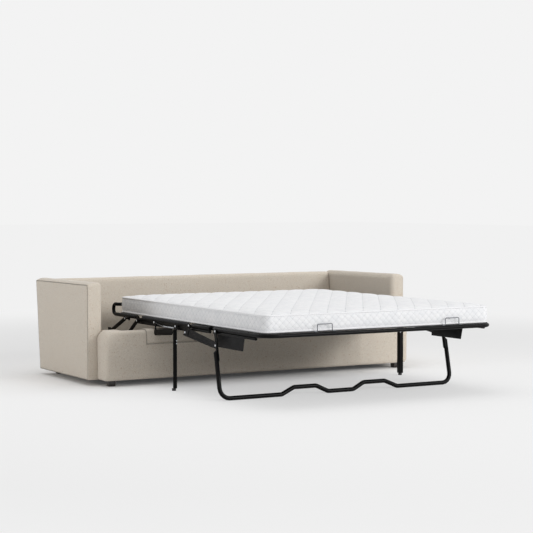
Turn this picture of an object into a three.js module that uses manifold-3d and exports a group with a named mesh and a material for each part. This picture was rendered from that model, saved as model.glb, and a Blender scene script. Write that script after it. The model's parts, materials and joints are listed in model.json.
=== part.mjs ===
// Sleeper sofa with a pull-out bed, drawn open. Millimetres, +Z up, +X to the sitter's left.
// Inside the functions Y is 0 at the front plane of the arms and falls towards the bed's foot.
import * as THREE from "three";
import { mergeVertices } from "three/addons/utils/BufferGeometryUtils.js";
import Module from "manifold-3d";

const wasm = await Module();
wasm.setup();

// Fits
const gap = 0.3; // between faces that touch
const overrun = 3; // how far a cutter runs past what it cuts
const pinPlay = 0.8; // radial play of a pivot pin

// Mattress
const mattressWidth = 1524;
const mattressLength = 1829;
const borderHeight = 98;
const crownHeight = 14;
const borderBulge = 5;
const quiltRelief = 2.5;
const quiltWidth = 117.2;
const quiltLength = 175;
const cornerRadius = 55;

// Heights of the bed
const framePlane = 393; // the hinge plane of the open bed frame
const closedPlane = 103; // the same plane with the bed folded away
const tubeRadius = 11;
const deckThickness = 3;
const foldGap = 11; // free height between the two halves of the folded mattress

// Lengths along the bed
const headHinge = 100; // where the head section hinges, behind the arm front
const bodyLength = 700;
const bowPlane = 415; // the head end's mattress stop
const bowRise = 64;
const bowBulge = 62; // how far its sides swell out behind it
const headMargin = 20; // mattress end to the bow's centre
const footMargin = 23; // mattress end to the foot bar's centre

// Flat bars and angles of the frame
const barThickness = 5;
const railWall = 4;
const railHeight = 35;
const railFlange = 22;
const flangeWall = 3;
const midBarHeight = 22;
const lowerTube = 8;
const hingeEye = 13;
const hingePin = 4.6;
const pinHead = 1.4;
const crossBarRadius = 11;
const laneGap = 1.5; // side play between plates that pass each other

// Lift links
const linkThickness = 6;
const linkWidth = 25;
const liftSwing = 165; // degrees that the lift link turns
const liftPivot = 65; // the lift link's upper pin, behind the arm front
const pivotDrop = 17; // that pin under the hinge plane
const headLinkThickness = 5;
const headLinkReach = 125; // its upper pin, behind the head hinge
const headLinkDrop = 13;
const headBaseBack = 112.2; // its lower pin from the lift link's
const headBaseRise = 92;
const bracketWall = 3;

// Legs
const legTubeRadius = 12.5;
const legPivotReach = 65; // the foot leg's pivot, in front of the foot hinge
const legPivotDrop = 9;
const legLean = 81;
const legStrapThickness = 4.5;
const legStrapWidth = 26;
const legCorner = 60;
const humpRise = 36;
const humpInner = 87;
const humpShoulder = 165;
const humpOuter = 315;
const humpFoot = 400;
const midLegReach = 141; // the middle leg's pivot, behind the front hinge
const midLegDrop = 14;
const midLegDepth = 32;
const midLegWidth = 25;
const midLegWall = 3;
const midLegTieDrop = 85; // the rivets under the pivot
const glideRadius = 12;
const glideHeight = 14;

// Fold channel and control link
const channelDepth = 6;
const channelReach = 25; // its pivot, behind the front hinge
const channelDrop = 41;
const channelShoulder = [39, 27]; // its upper rear corner, in front of and over the pivot
const channelHeel = [30, 17]; // its lower rear corner, behind and under the pivot
const channelFront = 36; // height of its round front end
const controlThickness = 3.5;
const controlReach = 437; // its pivot, behind the front hinge
const controlPinDrop = 11;
const controlDrop = 61;
const controlWidth = 36;
const controlBar = 214;
const springPlace = 27; // the spring's line under the hinge plane
const springRoom = 29; // its stud, behind the middle leg's pivot
const springTurns = 14;
const springWire = 0.75;
const springRadius = 3.1;
const studRadius = 2.2;

// Wire retainers on the foot bar
const retainerWire = 2.5;
const retainerHalf = 48;
const retainerRise = 41;
const retainerFoot = 22;
const retainerRightShare = 0.514; // their places, as shares of the mattress's half width
const retainerLeftShare = 0.618;

// Sofa shell
const sideRoom = 210; // free width between the side board and the arm
const armThickness = 100;
const armHeight = 612;
const armSeamHeight = 592;
const skirtHeight = 35; // fabric bottom over the floor
const armEdgeRadius = 34;
const backThickness = 60;
const backRake = 63; // how far the rear face leans over its height
const backFaceRake = 70;
const backTopRadius = 24;
const railProtrusion = 137;
const railThickness = 77;
const railTop = 334;
const railOverhang = 41; // how far the rail runs in front of each arm
const railCorner = 52;
const railFoot = 16;
const railEdge = 22;
const endBlockWidth = 95;
const endBlockDepth = 28;
const closedFrontRoom = 33;
const closedBackRoom = 39;
const footCorner = 90; // bend of the foot frame's tube
const plateLength = 315;
const plateHeight = 88;
const plateTaper = 22;
const plateWall = 3;
const plateFlange = 9;
const footWidth = 46;
const footInset = 37;
const flapHalfWidth = 838;
const flapThickness = 3;
const flapDrop = 86;
const boardThickness = 18;
const boardTop = 282;
const dustCoverThickness = 4;

// Lanes across the bed, each the centre of a plate or tube
const halfMattress = mattressWidth / 2;
const tubeLane = halfMattress + tubeRadius - 1;
const tubeInner = tubeLane - tubeRadius;
const tubeOuter = tubeLane + tubeRadius;
const footLugLane = tubeInner + barThickness / 2;
const midBarLane = footLugLane - barThickness - laneGap;
const railLane = tubeOuter - railWall / 2;
const headLugLane = railLane - railWall / 2 - laneGap - barThickness / 2;
const controlLane = tubeOuter + laneGap + controlThickness / 2;
const legStrapLane = tubeOuter + laneGap + legStrapThickness / 2;
const springLane = controlLane + controlThickness / 2 + laneGap + springRadius + springWire;
const channelLane = legStrapLane + legStrapThickness / 2 + laneGap + channelDepth / 2;
const legLane = tubeOuter + laneGap + legTubeRadius;
const midLegLane = channelLane + channelDepth / 2 + laneGap + midLegWidth / 2;
const liftLane = springLane + springRadius + springWire + laneGap + linkThickness / 2;
const headLinkLane = liftLane + linkThickness / 2 + laneGap + headLinkThickness / 2;
const bracketLane = headLinkLane + headLinkThickness / 2 + laneGap + bracketWall / 2;
const boardInner = midLegLane + midLegWidth / 2 + laneGap * 6;
const boardOuter = boardInner + boardThickness;
const armInner = boardOuter + sideRoom;
const armOuter = armInner + armThickness;

// Places along the bed
const deckBottom = framePlane + tubeRadius + gap;
const mattressBottom = deckBottom + deckThickness + gap * 2;
const midLength = 2 * (mattressBottom - framePlane + borderHeight + crownHeight) + foldGap;
const frontHinge = headHinge - bodyLength;
const footHinge = frontHinge - midLength;
const mattressHead = bowPlane - headMargin;
const mattressFoot = mattressHead - mattressLength;
const footBar = mattressFoot - footMargin;
const railFront = -railProtrusion;
const railRear = railFront + railThickness;
const backInner = railRear + closedFrontRoom + bodyLength + closedBackRoom;
const backOuter = backInner + backThickness;
const travelBack = railRear + closedFrontRoom - frontHinge;
const travelDown = framePlane - closedPlane;
const rearmost = backOuter + backRake;
const bodyCentre = (footBar - tubeRadius + rearmost) / 2;

// The lift link turns through liftSwing and carries the bed by travelBack and travelDown.
const radians = THREE.MathUtils.degToRad;
const liftLength = Math.hypot(travelBack, travelDown) / 2 / Math.sin(radians(liftSwing / 2));
const liftStart = Math.atan2(travelBack, -travelDown) - radians(liftSwing / 2);

// Pivots in the side view
const at = (y, z) => new THREE.Vector2(y, z);
const headPivot = at(headHinge, framePlane);
const frontPivot = at(frontHinge, framePlane);
const footPivot = at(footHinge, framePlane);
const liftTop = at(liftPivot, framePlane - pivotDrop);
const liftBase = at(
  liftTop.x + liftLength * Math.cos(liftStart),
  liftTop.y - liftLength * Math.sin(liftStart),
);
const headLinkTop = at(headHinge + headLinkReach, framePlane - headLinkDrop);
const headLinkBase = at(liftBase.x + headBaseBack, liftBase.y + headBaseRise);
const midLegPivot = at(frontHinge + midLegReach, framePlane - midLegDrop);
const legPivot = at(footHinge - legPivotReach, framePlane - legPivotDrop);
const legFoot = at(legPivot.x - legLean, legTubeRadius);
const legPinShare = 0.21; // down the leg, where the fold channel pulls
const legPin = legPivot.clone().lerp(legFoot, legPinShare);
const channelPivot = at(frontHinge + channelReach, framePlane - channelDrop);
const controlPivot = at(frontHinge + controlReach, framePlane - controlPinDrop);
const springStud = at(midLegPivot.x + springRoom, framePlane - springPlace);

// Colours, roughness and metalness
const fabric = [0xc3b6a4, 0.95, 0];
const ticking = [0xf2f2f0, 0.9, 0];
const blackSteel = [0x141517, 0.4, 0.7];
const panelSteel = [0x2b2c2e, 0.55, 0.4];
const brightSteel = [0xb9bcc0, 0.3, 0.9];
const blackPlastic = [0x17161a, 0.6, 0];
const deckCloth = [0x1d1e20, 0.9, 0];
const plywood = [0xb08d62, 0.8, 0];
const darkWood = [0x2a1f1a, 0.5, 0];

// Geometry to solid and back
function solid(geometry) {
  const g = geometry.clone();
  g.deleteAttribute("normal");
  g.deleteAttribute("uv");
  const merged = mergeVertices(g);
  return new wasm.Manifold(
    new wasm.Mesh({
      numProp: 3,
      vertProperties: merged.attributes.position.array,
      triVerts: new Uint32Array(merged.index.array),
    }),
  );
}

function shaped(body) {
  const m = body.getMesh();
  const g = new THREE.BufferGeometry();
  g.setAttribute("position", new THREE.BufferAttribute(m.vertProperties, 3));
  g.setIndex(new THREE.BufferAttribute(m.triVerts, 1));
  return g;
}

const unite = (...list) => list.reduce((a, b) => a.add(b));

// Prisms along X, Y and Z from outlines in the two other directions
const alongX = new THREE.Matrix4().makeBasis(
  new THREE.Vector3(0, 1, 0),
  new THREE.Vector3(0, 0, 1),
  new THREE.Vector3(1, 0, 0),
);
const alongY = new THREE.Matrix4().makeBasis(
  new THREE.Vector3(1, 0, 0),
  new THREE.Vector3(0, 0, 1),
  new THREE.Vector3(0, -1, 0),
);
const arcSteps = 6;

function prism(outline, from, to, basis = null, extra = {}) {
  const low = Math.min(from, to);
  const high = Math.max(from, to);
  const g = new THREE.ExtrudeGeometry(outline, {
    depth: high - low,
    bevelEnabled: false,
    curveSegments: arcSteps,
    ...extra,
  });
  if (basis === alongY) g.translate(0, 0, -high).applyMatrix4(basis);
  else if (basis) g.translate(0, 0, low).applyMatrix4(basis);
  else g.translate(0, 0, low);
  return solid(g);
}

function polygon(points) {
  return new THREE.Shape(points.map(([a, b]) => new THREE.Vector2(a, b)));
}

function box(x0, x1, y0, y1, z0, z1) {
  const g = new THREE.BoxGeometry(x1 - x0, y1 - y0, z1 - z0);
  g.translate((x0 + x1) / 2, (y0 + y1) / 2, (z0 + z1) / 2);
  return solid(g);
}

// A box from its place on the +X side, put on either side
function sideBox(side, x0, x1, y0, y1, z0, z1) {
  const [a, b] = side > 0 ? [x0, x1] : [-x1, -x0];
  return box(a, b, y0, y1, z0, z1);
}

const lane = (side, centre, thickness) => [
  side * (centre - thickness / 2),
  side * (centre + thickness / 2),
];

function pin(side, centre, radius, x0, x1, sides = 16) {
  const g = new THREE.CylinderGeometry(radius, radius, x1 - x0, sides);
  g.rotateZ(Math.PI / 2);
  g.translate((side * (x0 + x1)) / 2, centre.x, centre.y);
  return solid(g);
}

// A flat link with round ends between two points of the side view
function linkOutline(p, q, width) {
  const r = width / 2;
  const a = Math.atan2(q.y - p.y, q.x - p.x);
  const s = new THREE.Shape();
  s.absarc(q.x, q.y, r, a - Math.PI / 2, a + Math.PI / 2);
  s.absarc(p.x, p.y, r, a + Math.PI / 2, a + 1.5 * Math.PI);
  s.closePath();
  return s;
}

function hole(shape, centre, radius) {
  const h = new THREE.Path();
  h.absarc(centre.x, centre.y, radius, 0, 2 * Math.PI, true);
  shape.holes.push(h);
  return shape;
}

// A round tube along points whose corners are rounded by their own radius
function rounded(points, cornerSteps = 6) {
  const out = [points[0].p];
  for (let i = 1; i < points.length - 1; i++) {
    const { p, r } = points[i];
    const before = points[i - 1].p.clone().sub(p).normalize();
    const after = points[i + 1].p.clone().sub(p).normalize();
    const half = before.angleTo(after) / 2;
    const run = r / Math.tan(half);
    const centre = before.clone().add(after).normalize();
    centre.multiplyScalar(r / Math.sin(half)).add(p);
    const start = before.multiplyScalar(run).add(p);
    const end = after.multiplyScalar(run).add(p);
    const u = start.clone().sub(centre);
    const v = end.clone().sub(centre);
    const turn = u.angleTo(v);
    for (let k = 0; k <= cornerSteps; k++) {
      const t = k / cornerSteps;
      const wa = Math.sin((1 - t) * turn) / Math.sin(turn);
      const wb = Math.sin(t * turn) / Math.sin(turn);
      out.push(centre.clone().addScaledVector(u, wa).addScaledVector(v, wb));
    }
  }
  out.push(points[points.length - 1].p);
  return out;
}

// A tube whose flats lie at its radius, so that what rests on it touches a flat
function tube(path, radius, sides = 16) {
  const reach = radius / Math.cos(Math.PI / sides);
  const rings = [];
  let normal = null;
  for (let i = 0; i < path.length; i++) {
    const ahead = path[Math.min(i + 1, path.length - 1)].clone();
    const tangent = ahead.sub(path[Math.max(i - 1, 0)]).normalize();
    if (!normal) {
      const up = Math.abs(tangent.z) > 1 / 2 ? new THREE.Vector3(1, 0, 0) : new THREE.Vector3(0, 0, 1);
      normal = up.addScaledVector(tangent, -up.dot(tangent)).normalize();
    } else normal.addScaledVector(tangent, -normal.dot(tangent)).normalize();
    const side = new THREE.Vector3().crossVectors(tangent, normal);
    const ring = [];
    for (let k = 0; k < sides; k++) {
      const a = (2 * Math.PI * (k + 1 / 2)) / sides;
      ring.push(
        path[i]
          .clone()
          .addScaledVector(normal, reach * Math.cos(a))
          .addScaledVector(side, reach * Math.sin(a)),
      );
    }
    rings.push(ring);
  }
  return solid(skin(rings));
}

// A closed body through rings of equal length, with a fan over each end
function skin(rings) {
  const n = rings[0].length;
  const points = rings.flat();
  const ends = [rings[0], rings[rings.length - 1]].map((ring) =>
    ring.reduce((a, b) => a.add(b), new THREE.Vector3()).divideScalar(n),
  );
  const index = [];
  for (let i = 0; i + 1 < rings.length; i++)
    for (let k = 0; k < n; k++) {
      const a = i * n + k;
      const b = i * n + ((k + 1) % n);
      index.push(a, b, b + n, a, b + n, a + n);
    }
  const first = points.length;
  const last = (rings.length - 1) * n;
  for (let k = 0; k < n; k++) {
    const next = (k + 1) % n;
    index.push(first, next, k, first + 1, last + k, last + next);
  }
  const g = new THREE.BufferGeometry();
  g.setFromPoints([...points, ...ends]);
  g.setIndex(index);
  return g;
}

const v3 = (x, y, z) => new THREE.Vector3(x, y, z);

// Sofa shell
function arm(side) {
  const plan = new THREE.Shape();
  plan.moveTo(armOuter, 0);
  plan.lineTo(armOuter, backOuter + backRake);
  plan.lineTo(armInner, backOuter + backRake);
  plan.lineTo(armInner, armEdgeRadius);
  plan.absarc(armInner + armEdgeRadius, armEdgeRadius, armEdgeRadius, Math.PI, 1.5 * Math.PI);
  const front = new THREE.Shape();
  const r = armEdgeRadius;
  front.moveTo(armOuter, skirtHeight);
  front.lineTo(armOuter, armSeamHeight);
  const ridge = armOuter - armThickness / 2;
  front.quadraticCurveTo(armOuter - armThickness / 4, armHeight, ridge, armHeight);
  front.lineTo(armInner + r, armHeight);
  front.absarc(armInner + r, armHeight - r, r, Math.PI / 2, Math.PI);
  front.lineTo(armInner, skirtHeight);
  const profile = new THREE.Shape();
  profile.moveTo(0, skirtHeight);
  profile.lineTo(backOuter, skirtHeight);
  profile.lineTo(backOuter + backRake, armHeight);
  profile.lineTo(r / 2, armHeight);
  profile.absarc(r / 2, armHeight - r / 2, r / 2, Math.PI / 2, Math.PI);
  const high = armHeight + overrun;
  const deep = backOuter + backRake + overrun;
  const body = prism(plan, 0, high)
    .intersect(prism(front, -overrun, deep, alongY))
    .intersect(prism(profile, armInner - overrun, armOuter + overrun, alongX));
  return side > 0 ? shaped(body) : mirrored(shaped(body));
}

function mirrored(geometry) {
  const g = geometry.clone();
  g.scale(-1, 1, 1);
  const index = g.index.array;
  for (let i = 0; i < index.length; i += 3)
    [index[i + 1], index[i + 2]] = [index[i + 2], index[i + 1]];
  return g;
}

function back() {
  const faceTop = backInner + backFaceRake;
  const rearTop = backOuter + backRake;
  const s = new THREE.Shape();
  s.moveTo(backInner, skirtHeight);
  s.lineTo(backOuter, skirtHeight);
  s.lineTo(rearTop, armHeight - backTopRadius);
  s.absarc(rearTop - backTopRadius, armHeight - backTopRadius, backTopRadius, 0, Math.PI / 2);
  s.absarc(faceTop + backTopRadius, armHeight - backTopRadius, backTopRadius, Math.PI / 2, Math.PI);
  return shaped(prism(s, -armInner + gap, armInner - gap, alongX));
}

function railOutline(inset = 0) {
  const half = armInner + railOverhang - inset;
  const top = railTop - inset;
  const low = skirtHeight + inset;
  const r = railCorner - inset;
  const f = railFoot - inset / 2;
  const s = new THREE.Shape();
  s.moveTo(-half + f, low);
  s.lineTo(half - f, low);
  s.absarc(half - f, low + f, f, -Math.PI / 2, 0);
  s.absarc(half - r, top - r, r, 0, Math.PI / 2);
  s.absarc(-half + r, top - r, r, Math.PI / 2, Math.PI);
  s.absarc(-half + f, low + f, f, Math.PI, 1.5 * Math.PI);
  return s;
}

function frontRail() {
  const bevel = {
    bevelEnabled: true,
    bevelThickness: railEdge,
    bevelSize: railEdge,
    bevelSegments: 3,
  };
  const front = railFront + railEdge;
  const cushion = prism(railOutline(railEdge), front, railRear - railEdge, alongY, bevel);
  const ends = [-1, 1].map((side) => {
    const outer = prism(railOutline(), front, -gap, alongY);
    const keep = sideBox(
      side,
      armInner - endBlockWidth,
      armInner + railOverhang + overrun,
      railFront,
      overrun,
      0,
      railTop + overrun,
    );
    const inner = sideBox(
      side,
      armInner - endBlockWidth,
      armInner - gap,
      -overrun,
      endBlockDepth,
      skirtHeight,
      railTop,
    );
    return outer.intersect(keep).add(inner);
  });
  return shaped(unite(cushion, ...ends));
}

// The flap follows the rail's rear edge, top and rounded front edge, a gap off it.
function railFlap() {
  const line = [];
  const run = (offset) => {
    const pts = [[railRear - railEdge / 2, railTop + offset]];
    for (let k = 0; k <= arcSteps; k++) {
      const a = (Math.PI / 2) * (k / arcSteps);
      pts.push([
        railFront + railEdge - (railEdge + offset) * Math.sin(a),
        railTop - railEdge + (railEdge + offset) * Math.cos(a),
      ]);
    }
    pts.push([railFront - offset, railTop - flapDrop]);
    return pts;
  };
  line.push(...run(gap * 2), ...run(gap * 2 + flapThickness).reverse());
  return shaped(prism(polygon(line), -flapHalfWidth, flapHalfWidth, alongX));
}

function sofaFoot(side, y) {
  const centre = side * (armInner - footInset / 2);
  const taperShare = 0.9; // the sole's width, as a share of the top's
  const top = footWidth * Math.SQRT1_2;
  const height = skirtHeight - gap;
  const g = new THREE.CylinderGeometry(top, top * taperShare, height, 4);
  g.rotateY(Math.PI / 4).rotateX(Math.PI / 2);
  g.translate(centre, y, height / 2);
  return shaped(solid(g));
}

function sideBoard(side) {
  const low = skirtHeight + dustCoverThickness + gap;
  return shaped(
    sideBox(side, boardInner, boardOuter, railRear + gap, backInner - gap, low, boardTop),
  );
}

function sideDeck(side) {
  return shaped(
    sideBox(
      side,
      boardOuter + gap,
      armInner - gap,
      endBlockDepth + gap,
      backInner - gap,
      boardTop - boardThickness,
      boardTop,
    ),
  );
}

function dustCover() {
  return shaped(
    box(
      -armInner + gap,
      armInner - gap,
      endBlockDepth + gap,
      backInner - gap,
      skirtHeight,
      skirtHeight + dustCoverThickness,
    ),
  );
}

// The bracket's plate holds both link pins and is folded out to the board below and behind.
function mountBracket(side) {
  const rear = headLinkBase.x + linkWidth;
  const low = liftBase.y - linkWidth;
  const high = headLinkBase.y + linkWidth;
  const front = liftBase.x - linkWidth;
  const neck = headLinkBase.x - linkWidth / 2 - hingePin;
  const outline = polygon([
    [front, low],
    [rear, low],
    [rear, high],
    [neck, high],
    [neck, headLinkBase.y - linkWidth],
    [liftBase.x + linkWidth, liftBase.y + linkWidth * 1.4],
    [front, liftBase.y + linkWidth],
  ]);
  const inner = bracketLane - bracketWall / 2;
  const out = boardInner - gap;
  return shaped(
    unite(
      prism(outline, ...lane(side, bracketLane, bracketWall), alongX),
      sideBox(side, inner, out, front + linkWidth, rear, low, low + bracketWall),
      sideBox(side, inner, out, rear - bracketWall, rear, low, boardTop - gap),
      pin(side, liftBase, hingePin, liftLane - linkThickness / 2 - pinHead, inner + gap),
      pin(side, headLinkBase, hingePin, headLinkLane - headLinkThickness / 2 - pinHead, inner + gap),
    ),
  );
}

// Links
function liftLink(side) {
  const s = hole(linkOutline(liftBase, liftTop, linkWidth), liftBase, hingePin + pinPlay);
  const bar = prism(s, ...lane(side, liftLane, linkThickness), alongX);
  const through = pin(side, liftTop, hingePin, torqueReach + gap, liftLane);
  return shaped(unite(bar, through));
}

const torqueReach = railLane - railWall / 2 - gap * 2;

function torqueTube() {
  return crossBar(liftTop.x, liftTop.y, torqueReach, tubeRadius);
}

// The head link's upper boss faces the head frame's ear and stops a gap short of it.
function headLink(side) {
  const s = hole(linkOutline(headLinkBase, headLinkTop, linkWidth), headLinkBase, hingePin + pinPlay);
  const bar = prism(s, ...lane(side, headLinkLane, headLinkThickness), alongX);
  return shaped(bar.add(pin(side, headLinkTop, hingePin + pinHead, tubeOuter + gap, headLinkLane)));
}

// Body section
function plate(side, outline, centre, thickness) {
  return prism(outline, ...lane(side, centre, thickness), alongX);
}

function disc(side, centre, radius, laneCentre, thickness, bore = 0) {
  const s = new THREE.Shape();
  s.absarc(centre.x, centre.y, radius, 0, 2 * Math.PI);
  if (bore) hole(s, centre, bore);
  return plate(side, s, laneCentre, thickness);
}

function bodyRail(side) {
  const low = framePlane - railHeight;
  const inner = railLane - railWall / 2;
  const web = sideBox(side, inner, tubeOuter, frontHinge, headHinge, low, framePlane);
  const flange = sideBox(
    side,
    tubeOuter - railFlange,
    tubeOuter,
    frontHinge + hingeEye * 2,
    headHinge - hingeEye * 3,
    framePlane - flangeWall,
    framePlane,
  );
  const ear = disc(side, channelPivot, hingeEye, railLane, railWall);
  const eyes = [headPivot, frontPivot].map((p) => disc(side, p, hingeEye, railLane, railWall));
  const bore = (p) => pin(side, p, hingePin + pinPlay, inner - overrun, tubeOuter + overrun);
  const body = unite(web, flange, ear, ...eyes)
    .subtract(bore(liftTop))
    .subtract(bore(frontPivot));
  const stud = (p, radius, tip) => pin(side, p, radius, tubeOuter - gap, tip);
  const legHead = midLegLane - midLegWidth / 2 + midLegWall + pinHead;
  return shaped(
    unite(
      body,
      pin(side, headPivot, hingePin, headLugLane - barThickness / 2 - pinHead, inner + gap),
      stud(midLegPivot, hingePin, legHead),
      stud(controlPivot, hingePin, springLane + springRadius),
      stud(channelPivot, hingePin, channelLane + channelDepth / 2 + pinHead / 2),
      stud(springStud, studRadius, springLane + springRadius),
    ),
  );
}

function crossBar(y, z, reach, radius = crossBarRadius) {
  return shaped(tube([v3(-reach, y, z), v3(reach, y, z)], radius));
}

// The body deck stands on two battens over the rails' flanges.
function bodyDeck() {
  const y0 = frontHinge + hingeEye * 3;
  const y1 = headHinge - hingeEye * 3 - overrun;
  const panel = box(-tubeLane, tubeLane, y0, y1, deckBottom, deckBottom + deckThickness);
  const battens = [-1, 1].map((side) =>
    sideBox(side, tubeInner + gap, tubeLane, y0, y1, framePlane + gap, deckBottom + deckThickness / 2),
  );
  return shaped(unite(panel, ...battens));
}

// A deck panel on the tubes, with rounded corners at its free end
function tubeDeck(fixed, free, corner) {
  const half = tubeLane - gap * 6;
  const turn = free > fixed ? 1 : -1;
  const s = new THREE.Shape();
  s.moveTo(-half, fixed);
  s.lineTo(half, fixed);
  s.lineTo(half, free - turn * corner);
  s.quadraticCurveTo(half, free, half - corner, free);
  s.lineTo(-half + corner, free);
  s.quadraticCurveTo(-half, free, -half, free - turn * corner);
  return shaped(prism(s, deckBottom, deckBottom + deckThickness));
}

function midDeck() {
  const half = midBarLane + barThickness / 2;
  const clear = hingeEye * 2;
  return shaped(
    box(-half, half, footHinge + clear, frontHinge - clear, deckBottom, deckBottom + deckThickness),
  );
}

// Assist spring: a straight wire from the control pin, then close turns up to the stud
function assistSpring(side) {
  const steps = 8;
  const z = springStud.y;
  const start = controlPivot.x - hingePin - gap;
  const end = springStud.x + studRadius + gap;
  const coilShare = 0.55; // of the length that is wound
  const coilStart = end + (start - end) * coilShare;
  const count = springTurns * steps;
  const path = [
    v3(side * springLane, start, controlPivot.y),
    v3(side * springLane, coilStart + springRadius * 3, z),
  ];
  for (let k = 0; k <= count; k++) {
    const a = (2 * Math.PI * k) / steps;
    const y = coilStart + ((end + springRadius * 2 - coilStart) * k) / count;
    path.push(v3(side * (springLane + springRadius * Math.cos(a)), y, z + springRadius * Math.sin(a)));
  }
  path.push(v3(side * springLane, end + springWire, z), v3(side * springLane, end, z));
  const pitch = (coilStart - end - springRadius * 2) / springTurns;
  const least = (pitch - springWire * 2).toFixed(2);
  if (side > 0) console.log(`assist spring: least gap between turns ${least} mm`);
  return shaped(tube(path, springWire, 5));
}

// Control link: a strap that hangs from its pivot and a bar that runs forward to the leg
function controlLink(side) {
  const low = at(controlPivot.x, controlPivot.y - controlDrop);
  const front = at(low.x - controlBar, low.y + controlWidth / 2);
  const strapShare = 0.4; // of the bar's width
  const strap = linkOutline(controlPivot, low, controlWidth * strapShare);
  hole(strap, controlPivot, hingePin + pinPlay);
  const bar = linkOutline(low, front, controlWidth);
  const cut = (outline) => plate(side, outline, controlLane, controlThickness);
  return shaped(cut(strap).add(cut(bar)));
}

// Head section
function headFrame() {
  const start = headHinge + hingeEye * 2;
  const z = framePlane;
  const up = framePlane + bowRise;
  const bend = tubeRadius * 2.6;
  const bulge = bowPlane + bowBulge;
  const half = [
    { p: v3(tubeLane, start, z) },
    { p: v3(tubeLane, bulge, z), r: bend },
    { p: v3(tubeLane, bulge, up), r: bend },
    { p: v3(tubeLane, bowPlane, up), r: bend },
  ];
  const other = half.map(({ p, r }) => ({ p: v3(-p.x, p.y, p.z), r })).reverse();
  const path = rounded([...half, ...other]);
  const parts = [tube(path, tubeRadius)];
  for (const side of [-1, 1]) {
    const lug = linkOutline(headPivot, at(start + hingeEye, z), hingeEye * 1.6);
    hole(lug, headPivot, hingePin + pinPlay);
    parts.push(plate(side, lug, headLugLane, barThickness));
    parts.push(disc(side, headLinkTop, hingeEye, railLane, railWall));
  }
  return shaped(unite(...parts));
}

// Middle section: a flat bar between the hinges with the twin tubes riveted outside it
function midRail(side) {
  const s = linkOutline(frontPivot, footPivot, midBarHeight);
  hole(s, footPivot, hingePin + pinPlay);
  const bar = plate(side, s, midBarLane, barThickness);
  const y0 = frontHinge - hingeClear;
  const y1 = footHinge + hingeClear;
  const run = (radius, z) => tube([v3(side * tubeLane, y0, z), v3(side * tubeLane, y1, z)], radius);
  const places = [y0 - hingeEye, y1 + hingeEye];
  const rivets = places.map((y) =>
    pin(side, at(y, framePlane), hingePin, midBarLane, tubeInner + overrun),
  );
  const x0 = tubeLane - lowerTube / 2;
  const x1 = tubeLane + lowerTube / 2;
  const ties = places.map((y) =>
    sideBox(side, x0, x1, y - hingeEye, y + hingeEye, lowerTubeHeight, framePlane),
  );
  const axle = pin(side, frontPivot, hingePin, midBarLane, tubeOuter + pinHead);
  return shaped(
    unite(bar, run(tubeRadius, framePlane), run(lowerTube, lowerTubeHeight), ...ties, ...rivets, axle),
  );
}

const lowerTubeHeight = framePlane - tubeRadius - lowerTube - gap;
const hingeClear = hingeEye * 1.7; // from a hinge to the tubes' ends

// Foot section
function footFrame() {
  const start = footHinge - hingeEye * 2;
  const z = framePlane;
  const path = rounded(
    [
      { p: v3(tubeLane, start, z) },
      { p: v3(tubeLane, footBar, z), r: footCorner },
      { p: v3(-tubeLane, footBar, z), r: footCorner },
      { p: v3(-tubeLane, start, z) },
    ],
    8,
  );
  const parts = [tube(path, tubeRadius)];
  for (const side of [-1, 1]) {
    const lug = linkOutline(footPivot, at(start - hingeEye * 2, z), hingeEye * 1.6);
    parts.push(plate(side, lug, footLugLane, barThickness));
    parts.push(pin(side, footPivot, hingePin, midBarLane - barThickness / 2 - pinHead, footLugLane));
    const ear = (railWall * 2) / 3;
    parts.push(disc(side, legPivot, hingeEye, tubeOuter - ear / 2 + gap, ear));
    const tip = legStrapLane + legStrapThickness / 2 + gap;
    parts.push(pin(side, legPivot, hingePin, tubeOuter - gap, tip));
  }
  return shaped(unite(...parts));
}

// The lower perimeter tube runs under the foot frame and turns up into it near the corners.
function footLowerRail(side) {
  const start = footHinge - hingeEye * 2;
  const end = footBar + footCorner;
  const place = (y) => v3(side * tubeLane, y, lowerTubeHeight);
  return shaped(tube([place(start), place(end)], lowerTube));
}

function sidePlate(side) {
  const top = lowerTubeHeight + plateFlange / 2;
  const rear = footHinge - hingeEye * 1.5;
  const front = rear - plateLength;
  const outline = polygon([
    [rear, top],
    [front, top],
    [front + plateTaper, top - plateHeight],
    [rear, top - plateHeight],
  ]);
  const centre = tubeInner - midLegWidth / 2 - plateWall / 2;
  const web = plate(side, outline, centre, plateWall);
  const reach = tubeLane - lowerTube - gap;
  const low = lowerTubeHeight - plateWall / 2;
  const flange = sideBox(side, centre, reach, front, rear, low, low + plateWall);
  return shaped(web.add(flange));
}

function retainer(centre) {
  const y = footBar;
  const low = framePlane + tubeRadius + gap + retainerWire;
  const bend = retainerWire * 3;
  const place = (dx, dz) => v3(centre + dx, y, low + dz);
  const path = rounded(
    [
      { p: place(-retainerHalf - retainerFoot, 0) },
      { p: place(-retainerHalf, 0), r: bend },
      { p: place(-retainerHalf, retainerRise), r: bend },
      { p: place(retainerHalf, retainerRise), r: bend },
      { p: place(retainerHalf, 0), r: bend },
      { p: place(retainerHalf + retainerFoot, 0) },
    ],
    3,
  );
  return shaped(tube(path, retainerWire, 8));
}

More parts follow.
